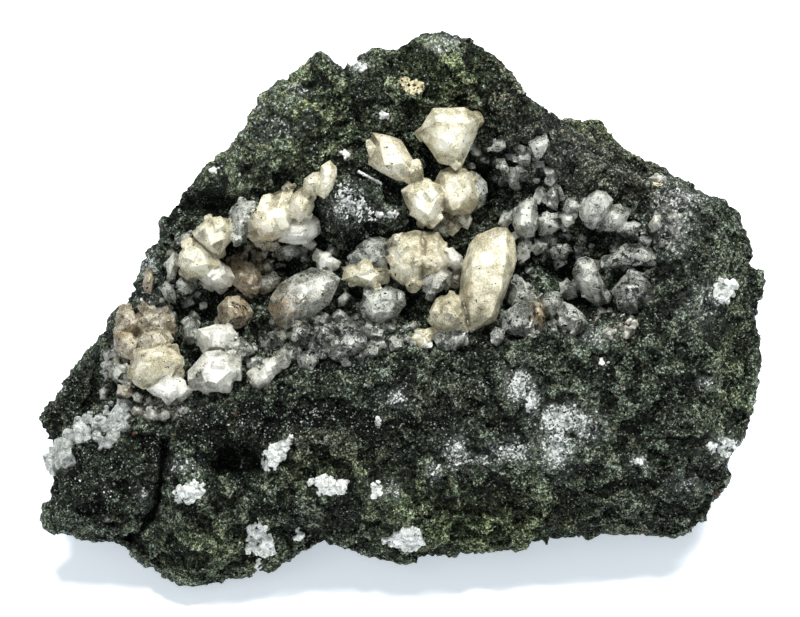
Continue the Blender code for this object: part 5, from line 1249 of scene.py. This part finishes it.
STAINS = (
    (-11.2, 0.2, 1.9, 2.0, 1.2), (-8.8, 1.4, 2.6, 2.0, 0.4), (-15.2, -0.2, 1.2, 1.2, 0.9),
    (6.2, 9.6, 1.2, 0.8, 0.9), (13.1, -0.6, 0.7, 1.2, 1.4), (-12.6, 6.7, 1.6, 0.8, 0.9),
    (-9.9, 8.9, 0.5, 1.0, 0.7), (-23.2, -2.9, 1.6, 1.0, 0.7), (-25.8, -2.6, 1.6, 2.4, 0.7),
    (-14.6, 3.0, 2.2, 2.0, 0.8), (-17.9, 7.0, 0.5, 0.9, 0.5), (3.0, 4.6, 1.6, 2.0, 0.6),
    (-1.2, -0.4, 1.6, 1.2, 0.3), (6.4, 1.6, 0.8, 1.0, 0.6), (-24.0, 2.4, 0.9, 1.6, 0.8),
    (-23.0, -1.2, 1.6, 0.8, 0.5), (-13.2, 8.4, 0.9, 0.8, 0.4),
)
print(len(CLOUDY_AND_PAINTED_LIGHT), "bright,", len(CLEAR), "clear and", len(STAINS), "stained places")

# %% [markdown]
# ## What each place of a crystal is made of
#
# The finished skin has lost track of its crystals, so each corner asks the heap for the nearest hull. That
# gives the kind, which picks the finish, and a tone, a little different for each crystal. Each facet has a
# cloudiness of its own, because it shows the inside from another side, and this is also painted sheen: it
# makes each facet lighter or darker as if it caught the light another way. The rim of a crystal is clearer
# than its cloudy core. Close to the rock the crystal is darkened, by dirt and by painted shade where it
# meets the rock.

# %% Kinds, tones, facets with painted sheen, dirt and painted shade
DIRT_AND_SHADE_HEIGHT = 1.2
FACET_STEPS = 2.2
RIM_START, RIM_END = 0.45, 1.05


def facet_cloud_and_sheen(heap):
    """A random cloudiness and painted sheen for each facet; faces of one hull that point nearly the same way
    share it.
    """
    drawn = {}
    tones = []
    for owner, face in zip(heap.owners, heap.faces):
        first, second, third = [heap.corners[corner] for corner in face[:3]]
        normal = (second - first).cross(third - first).normalized()
        key = (owner, *(round(FACET_STEPS * part) for part in normal))
        tones.append(drawn.setdefault(key, draw.random()))
    return tones


def describe(obj, heap):
    """Stores what the finish needs for each corner and face, and picks each face's finish by its kind."""
    lookup = heap.tree()
    tones = [draw.random() for _ in heap.kinds]
    tone, dirt, rim = [], [], []
    for corner in obj.data.vertices:
        owner = heap.owners[lookup.find_nearest(corner.co)[2]]
        u, v, w = to_face(corner.co)
        ground = height_on(finished_rock, u, v)
        above = w - ground if ground is not None else DIRT_AND_SHADE_HEIGHT
        middle_u, middle_v, half_width, half_height = heap.spans[owner]
        off_middle = math.hypot((u - middle_u) / half_width, (v - middle_v) / half_height)
        rim.append(smooth_step(RIM_START, RIM_END, off_middle))
        tone.append(tones[owner])
        # dirt and painted shade: darker the closer a corner lies to the rock
        dirt.append(1.0 - smooth_step(0.0, DIRT_AND_SHADE_HEIGHT, above))
    us, vs = face_places(obj.data)
    store(obj.data, "tone", tone)
    store(obj.data, "dirt", dirt)
    store(obj.data, "rim", rim)
    store(obj.data, "bright", amount(us, vs, CLOUDY_AND_PAINTED_LIGHT))
    store(obj.data, "clear", amount(us, vs, CLEAR))
    store(obj.data, "stain", amount(us, vs, STAINS))
    nearest = [lookup.find_nearest(face.center)[2] for face in obj.data.polygons]
    cloud_and_sheen_by_facet = facet_cloud_and_sheen(heap)
    # painted sheen: each facet's random tone is partly cloudiness and partly how it seems to catch the light
    store(obj.data, "facet", [cloud_and_sheen_by_facet[hull_face] for hull_face in nearest], "FACE")
    for face, hull_face in zip(obj.data.polygons, nearest):
        face.material_index = heap.kinds[heap.owners[hull_face]]


for name, piece in crystal_pieces.items():
    describe(piece, heaps[name])
    print(f"{name} is described with", ", ".join(piece.data.attributes.keys()))

# %% [markdown]
# ## The crystals' finishes
#
# Anorthite is glassy, but most of these crystals are cloudy inside: light goes a millimetre or two into
# them and comes out again, which is what subsurface scattering is for. The grey ones are half clear, so
# part of their light is let through and they show the dark rock behind. Black grains of rock sit in and on
# them as pin-sized specks.

# %% Specks and stains
SPECK_EDGE = 0.01
SPECK_CORE = 0.6


def specks(place, spacing, radius, share):
    """1 on small round specks, which stand in a share of the cells."""
    there = random_part(place, spacing, "Green").step(1.0 - share - SPECK_EDGE, 1.0 - share)
    near = 1 - cells(place, spacing).step(radius / spacing * SPECK_CORE, radius / spacing)
    return there * near


def crystal_colour(place, stops, stain_colour, dirt_and_shade_colour):
    """The colour of a crystal: clear and cloudy parts, its own tone, stains, and grime with painted shade
    near the rock.
    """
    veils = clouds(place, 1.1, 5.0, 0.62).step(0.36, 0.64)
    grit = clouds(place, 0.13, 3.0, 0.6).step(0.34, 0.66)
    cloudy = 0.36 * veils + 0.22 * clouds(place, 0.40) + 0.28 * grit + 0.16 * stored(place, "tone")
    # painted light: the bright ovals and each facet's tone also stand in for light caught on fronts and
    # facets
    cloudy = cloudy + 0.42 * stored(place, "bright") + 0.36 * stored(place, "facet")
    cloudy = cloudy - 0.20 * stored(place, "rim") - 0.26 * stored(place, "clear")
    colour = (cloudy - 0.18).colours(*stops)
    stain = (0.75 * stored(place, "stain") * clouds(place, 0.5).step(0.35, 0.65)).math("MINIMUM", 1.0)
    colour = stain.blend(colour, stain_colour)
    # dirt and painted shade where the crystal meets the rock
    dirt = stored(place, "dirt") * clouds(place, 0.45).step(0.24, 0.54)
    return dirt.blend(colour, dirt_and_shade_colour)


print(f"a speck fades out from {SPECK_CORE:.0%} of its radius")

# %% [markdown]
# ## Four kinds of crystal
#
# The kinds share one recipe. They differ in their colours from clear to cloudy, in how much light they let
# through, in how many black grains they hold, and in how rough they are.

# %% Crystal finishes
SPECK = (0.02, 0.018, 0.015, 1)
AMBER = (0.36, 0.24, 0.11, 1)
# colours of the dirt and painted shade where a crystal meets the rock
DIRT_AND_SHADE = (0.07, 0.06, 0.04, 1)
GREY_DIRT_AND_SHADE = (0.03, 0.034, 0.028, 1)
CREAM_STOPS = (
    (0.0, 0.13, 0.12, 0.080), (0.35, 0.38, 0.35, 0.235), (0.60, 0.67, 0.63, 0.45), (0.88, 0.92, 0.90, 0.76),
)
WHITE_STOPS = (
    (0.0, 0.15, 0.155, 0.13), (0.35, 0.43, 0.43, 0.37), (0.60, 0.72, 0.72, 0.64), (0.88, 0.93, 0.93, 0.85),
)
GREY_STOPS = (
    (0.0, 0.028, 0.032, 0.027), (0.26, 0.16, 0.175, 0.15), (0.50, 0.48, 0.505, 0.45),
    (0.78, 0.87, 0.89, 0.81),
)
BROWN_STOPS = (
    (0.0, 0.065, 0.054, 0.036), (0.35, 0.25, 0.222, 0.155), (0.60, 0.52, 0.49, 0.38),
    (0.85, 0.76, 0.75, 0.64),
)
SPECK_SPACING, SPECK_RADIUS = 0.40, 0.085
ETCH_DEPTH = 0.07
GLOW_REACH = 0.35 * MM
GLOW_COLOURS = (1.0, 0.8, 0.55)
ANORTHITE_IOR = 1.58


def crystal_finish(name, stops, dirt_and_shade_colour, glow, clear, share, rough):
    """A finish with its colours, how much it glows, how clear, how specked and how rough it is."""
    material, shader, place = start_finish(name)
    colour = crystal_colour(place, stops, AMBER, dirt_and_shade_colour)
    dots = specks(place, SPECK_SPACING, SPECK_RADIUS, share) * clouds(place, 2.0).step(0.40, 0.56)
    blots = (clouds(place, 0.62, 5.0, 0.7) + 0.12 * share + 0.07 * stored(place, "clear")).step(0.69, 0.72)
    colour = dots.math("MAXIMUM", blots).blend(colour, SPECK)
    etched = 0.5 * clouds(place, 0.30, 4.0, 0.6) + 0.2 * random_part(place, 0.22, "Red")
    etched = etched + 0.3 * clouds(place, 0.10, 2.0)
    facets = facet_direction(place, 0.9, 0.26)
    feed(
        shader, Base_Color=colour, Roughness=rough + 0.20 * clouds(place, 0.6), IOR=ANORTHITE_IOR,
        Subsurface_Weight=glow, Subsurface_Radius=GLOW_COLOURS, Subsurface_Scale=GLOW_REACH,
        Transmission_Weight=clear, Normal=bumped(etched, ETCH_DEPTH, facets),
    )
    return material


crystal_finishes = (
    crystal_finish("cream", CREAM_STOPS, DIRT_AND_SHADE, glow=0.25, clear=0.10, share=0.50, rough=0.05),
    crystal_finish("white", WHITE_STOPS, DIRT_AND_SHADE, glow=0.22, clear=0.10, share=0.30, rough=0.05),
    crystal_finish("grey", GREY_STOPS, GREY_DIRT_AND_SHADE, glow=0.12, clear=0.30, share=0.80, rough=0.04),
    crystal_finish("brown", BROWN_STOPS, DIRT_AND_SHADE, glow=0.20, clear=0.05, share=0.75, rough=0.12),
)
for name, piece in crystal_pieces.items():
    for finish in crystal_finishes:
        piece.data.materials.append(finish)
    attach(piece, "root")
    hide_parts("crystal_crust")
print("the crystals have their finishes")

# %% [markdown]
# ## Sugary white grains
#
# The white vein at the left and the white patches on the front are crusts of tiny grains, like coarse
# sugar. Each is a heap of small hulls inside its outline, thicker in the middle, melted like the crystals.
# The outlines repeat those of the measured solids.

# %% Outlines of the white places
VEIN_OUTLINE = (
    (-33.4, -15.2), (-32.8, -13.2), (-31.8, -12.8), (-31.2, -11.4), (-29.8, -10.2), (-28.2, -9.5),
    (-27.2, -9.0), (-25.9, -9.2), (-25.2, -9.8), (-25.6, -10.8), (-26.6, -11.4), (-27.0, -13.0),
    (-28.2, -13.6), (-29.2, -12.3), (-30.4, -12.2), (-31.0, -13.4), (-31.6, -15.2),
)
PATCH_OUTLINES = (
    ((-10.2, -12.0), (-12.0, -12.9), (-13.0, -13.8), (-12.8, -15.2), (-11.9, -15.4), (-11.2, -14.2),
     (-10.4, -12.9)),
    ((-18.3, -16.1), (-20.1, -16.5), (-21.7, -17.5), (-21.4, -18.0), (-19.5, -18.3), (-18.6, -17.6)),
    ((-13.4, -19.6), (-12.5, -20.8), (-11.9, -22.9), (-12.7, -23.4), (-14.5, -22.8), (-14.5, -21.0)),
    ((-8.9, -16.4), (-7.2, -15.8), (-4.6, -16.3), (-5.8, -17.4), (-7.9, -17.4)),
    ((-1.5, -21.8), (0.2, -20.9), (2.0, -20.6), (2.4, -21.6), (1.6, -22.8), (-0.4, -22.4)),
    ((29.4, 1.6), (30.4, 2.8), (31.6, 2.6), (31.4, 1.2), (30.2, 0.5)),
)


def inside(u, v, outline):
    """True if a point of the face is inside an outline."""
    within = False
    for (u1, v1), (u2, v2) in zip(outline, (*outline[1:], outline[0])):
        if (v1 > v) != (v2 > v) and u < u1 + (v - v1) / (v2 - v1) * (u2 - u1):
            within = not within
    return within


print("the first patch has its middle at", [round(c, 1) for c in middle_of(PATCH_OUTLINES[0])], "mm")

# %% [markdown]
# ## Grains in an outline
#
# Random spots are kept if they lie inside the outline. Most grains are small and a few are large, which a
# squared random number gives. Each one is sunk a little into the finished rock.

# %% Grains in an outline
GRAIN_SINK = 0.15
GRAINS_SQUARE = 0.085 * MM
GRAINS_THINNING = 0.36
GRAIN_ROUGH_SIZE = 0.3 * MM
GRAIN_ROUGH_HEIGHT = 0.02 * MM


def fill_with_grains(heap, outline, per_square_mm, smallest, largest):
    """Adds grains at random spots inside the outline."""
    us = [u for u, v in outline]
    vs = [v for u, v in outline]
    tries = int((max(us) - min(us)) * (max(vs) - min(vs)) * per_square_mm)
    for _ in range(tries):
        u, v = draw.uniform(min(us), max(us)), draw.uniform(min(vs), max(vs))
        radius = smallest + (largest - smallest) * draw.random() ** 2
        ground = height_on(finished_rock, u, v)
        if inside(u, v, outline) and ground is not None:
            middle = on_face(u, v, ground - draw.uniform(0.0, GRAIN_SINK))
            heap.add(block_points(middle, radius * MM, turned_at_random()), WHITE)


def grain_relief(place, kind):
    return GRAIN_ROUGH_HEIGHT * noise.noise(place / GRAIN_ROUGH_SIZE)


def finish_grains(name, heap, finish, node=None):
    """Melts a heap of grains into a piece, which may stand for a measured solid."""
    piece = melt(name, heap, GRAINS_SQUARE)
    sharpen(piece, heap, grain_relief)
    thin_out(piece, GRAINS_THINNING)
    piece.data.materials.append(finish)
    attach(piece, "root")
    if node:
        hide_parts(node)
    print(f"{name}: {len(heap.kinds)} grains, {len(piece.data.polygons)} faces")


print(f"grains are melted with squares of {GRAINS_SQUARE / MM:.3f} mm")

# %% [markdown]
# ## The sugary finish
#
# Sugar looks white because light is scattered between its clear grains. So the finish lets some light
# through and lets the rest wander under the surface, and each grain faces its own way, which makes it
# glint.

# %% The sugary finish
SUGAR_STOPS = ((0.26, 0.12, 0.14, 0.12), (0.46, 0.50, 0.53, 0.49), (0.66, 0.92, 0.94, 0.91))
SUGAR_GLOW = (1.0, 1.0, 0.95)
SUGAR_IOR = 1.55


def white_sugar(name, shift, clear):
    """A finish for sugary grains, whose colours are shifted towards white by a number."""
    material, shader, place = start_finish(name)
    shade = 0.6 * clouds(place, 0.9) + 0.25 * random_part(place, 0.25, "Red")
    shade = shade + 0.15 * clouds(place, 0.12).step(0.35, 0.65) + shift
    feed(
        shader, Base_Color=shade.colours(*SUGAR_STOPS), Roughness=0.12 + 0.3 * clouds(place, 0.4),
        IOR=SUGAR_IOR, Transmission_Weight=clear, Subsurface_Weight=0.40, Subsurface_Radius=SUGAR_GLOW,
        Subsurface_Scale=GLOW_REACH,
        Normal=bumped(clouds(place, 0.12), 0.05, facet_direction(place, 0.5, 0.45)),
    )
    return material


clear_sugar = white_sugar("clear_sugar", shift=-0.03, clear=0.34)
sugar = white_sugar("white_sugar", shift=0.07, clear=0.10)
print("the grains have two finishes:", clear_sugar.name, "and", sugar.name)

# %% [markdown]
# ## The vein and the patches
#
# The vein is half clear, and its grains are larger and stand further apart, so that dark rock shows between
# them. The patches are whiter and finer.

# %% The vein and the patches
vein = Heap()
fill_with_grains(vein, VEIN_OUTLINE, per_square_mm=3.9, smallest=0.26, largest=0.95)
finish_grains("vein_grains", vein, clear_sugar, "white_vein")
for number, outline in enumerate(PATCH_OUTLINES, start=1):
    patch = Heap()
    fill_with_grains(patch, outline, per_square_mm=20.0, smallest=0.14, largest=0.46)
    finish_grains(f"patch_grains_{number}", patch, sugar, f"white_patch_{number}")

# %% [markdown]
# ## Loose white bits
#
# A few white bits sit on the rock away from the patches. Each is a small cluster of grains at a listed
# spot with a half width and half height. Where the rock is dusted, tiny flakes lie on it like snow. A thin
# white needle stands beside the round block, and it is a row of blocks that are melted together.

# %% White bits
BITS = (
    (-9.6, -21.4, 0.4, 0.7), (-2.2, -17.0, 0.5, 0.9), (-2.1, -10.6, 0.3, 0.4), (30.6, -13.2, 1.6, 0.8),
    (-1.5, 18.3, 0.5, 0.4), (-5.2, 14.5, 0.4, 0.4), (-17.5, 13.1, 0.4, 0.4), (-0.6, 8.9, 0.4, 0.4),
    (-2.0, 8.8, 0.3, 0.3), (-13.4, -24.2, 0.3, 0.5), (12.2, -8.9, 0.3, 0.9), (-3.6, 22.8, 0.6, 0.4),
    (22.5, -14.4, 0.4, 0.3), (19.2, -5.0, 0.5, 0.3), (-20.8, -9.6, 0.8, 0.3), (-23.2, -9.4, 0.6, 0.4),
)
SNOW = (
    (-4.9, 9.9, 1.6, 1.4, 110), (-3.2, 8.8, 1.2, 0.8, 32), (-5.4, 11.2, 0.8, 0.7, 16),
    (15.2, -10.4, 1.9, 1.2, 90), (14.8, -13.2, 1.0, 1.6, 60), (17.2, -11.0, 1.0, 0.9, 20),
    (11.2, -7.2, 1.0, 1.2, 44), (12.5, -8.8, 0.6, 1.1, 22), (5.2, -13.6, 1.0, 1.2, 30),
    (10.6, -13.4, 1.8, 0.7, 34), (25.8, 8.5, 1.4, 2.8, 50), (-20.6, -14.9, 1.2, 0.7, 20),
    (-21.9, -9.5, 2.0, 0.8, 40), (-0.5, -8.4, 1.0, 0.8, 16), (3.4, -15.2, 0.6, 0.8, 12),
    (27.6, 10.4, 1.3, 0.7, 16), (-24.1, 1.6, 0.7, 2.0, 40), (-28.4, -16.4, 3.6, 3.2, 18),
    (-14.0, -10.6, 6.0, 1.4, 14),
)
FLAKE_LIFT, FLAKE_SIZES = 0.03, (0.05, 0.13)
BIT_LIFT, BIT_SIZES = 0.05, (0.10, 0.26)
FEWEST_GRAINS, GRAINS_PER_AREA = 6, 30
NEEDLE_START, NEEDLE_END = (-3.9, 12.9), (-1.8, 11.8)
NEEDLE_RADIUS = 0.08 * MM
NEEDLE_LIFT = 0.3
NEEDLE_BLOCKS = 14


def add_bit(u, v, w, sizes):
    """Adds a small white grain of a size between two others."""
    middle = on_face(u, v, w)
    bits.add(block_points(middle, draw.uniform(*sizes) * MM, turned_at_random()), WHITE)


bits = Heap()
for oval in SNOW:
    for u, v in spots_in(*oval):
        add_bit(u, v, height_on(finished_rock, u, v) + FLAKE_LIFT, FLAKE_SIZES)
for *middle, half_width, half_height in BITS:
    count = int(FEWEST_GRAINS + GRAINS_PER_AREA * half_width * half_height)
    for u, v in spots_in(*middle, half_width, half_height, count):
        ground = height_on(finished_rock, u, v)
        if ground is not None:
            add_bit(u, v, ground + BIT_LIFT, BIT_SIZES)
for number in range(NEEDLE_BLOCKS):
    share = number / (NEEDLE_BLOCKS - 1)
    u, v = Vector(NEEDLE_START).lerp(Vector(NEEDLE_END), share)
    middle = on_face(u, v, height_on(finished_rock, *NEEDLE_START) + NEEDLE_LIFT + NEEDLE_LIFT * share)
    bits.add(block_points(middle, 2.0 * NEEDLE_RADIUS, turned_at_random(LARGEST_TWIST)), WHITE)
finish_grains("white_bits", bits, sugar)

# %% [markdown]
# ## The floor
#
# The specimen lies on a white sheet that glows a little, like a light table, so that its shadow stays pale
# and bluish. One large flat square is enough for it.

# %% Floor
FLOOR_HALF = 3.0
SHEET_WHITE = (0.90, 0.92, 0.95, 1)
SHEET_GLOW = (0.83, 0.92, 1.0, 1)
SHEET_GLOW_STRENGTH = 0.52


def white_sheet():
    material, shader, place = start_finish("white_sheet")
    feed(
        shader, Base_Color=SHEET_WHITE, Roughness=0.9,
        Emission_Color=SHEET_GLOW, Emission_Strength=SHEET_GLOW_STRENGTH,
    )
    return material


floor_mesh = bmesh.new()
bmesh.ops.create_grid(floor_mesh, x_segments=1, y_segments=1, size=FLOOR_HALF)
floor_data = bpy.data.meshes.new("floor")
floor_mesh.to_mesh(floor_data)
floor_mesh.free()
floor_data.materials.append(white_sheet())
floor = link(bpy.data.objects.new("floor", floor_data))
print(f"the sheet is {2.0 * FLOOR_HALF:.0f} m wide")

# %% [markdown]
# ## Lights
#
# Three square lights face the specimen. The strongest stands high at the back and gives the shadow, the
# widest stands in front and fills the shade, and the smallest is there only for the glints. The sizes
# decide how soft the shadows are. An even pale surrounding lifts all of it a little.

# %% Lights
SURROUNDING = (0.93, 0.96, 1.0, 1.0)
SURROUNDING_STRENGTH = 0.26


def soft_light(name, place, size, power, colour):
    """A square light in millimetres that faces the specimen."""
    data = bpy.data.lights.new(name, "AREA")
    data.size = size * MM
    data.energy = power
    data.color = colour
    lamp = link(bpy.data.objects.new(name, data))
    lamp.location = Vector(place) * MM
    lamp.rotation_euler = (FACE_CENTRE - lamp.location).to_track_quat("-Z", "Y").to_euler()


soft_light("key", (210.0, 110.0, 570.0), size=170.0, power=3.4, colour=(1.0, 0.99, 0.97))
soft_light("fill", (-200.0, -420.0, 420.0), size=500.0, power=1.0, colour=(0.96, 0.98, 1.0))
soft_light("glint", (-140.0, 40.0, 620.0), size=70.0, power=2.0, colour=(1.0, 1.0, 1.0))

world = bpy.data.worlds.new("studio")
world.use_nodes = True
background = world.node_tree.nodes["Background"]
background.inputs["Color"].default_value = SURROUNDING
background.inputs["Strength"].default_value = SURROUNDING_STRENGTH
bpy.context.scene.world = world
bpy.context.scene.view_settings.view_transform = "Standard"
print("lights:", ", ".join(light.name for light in bpy.data.lights))
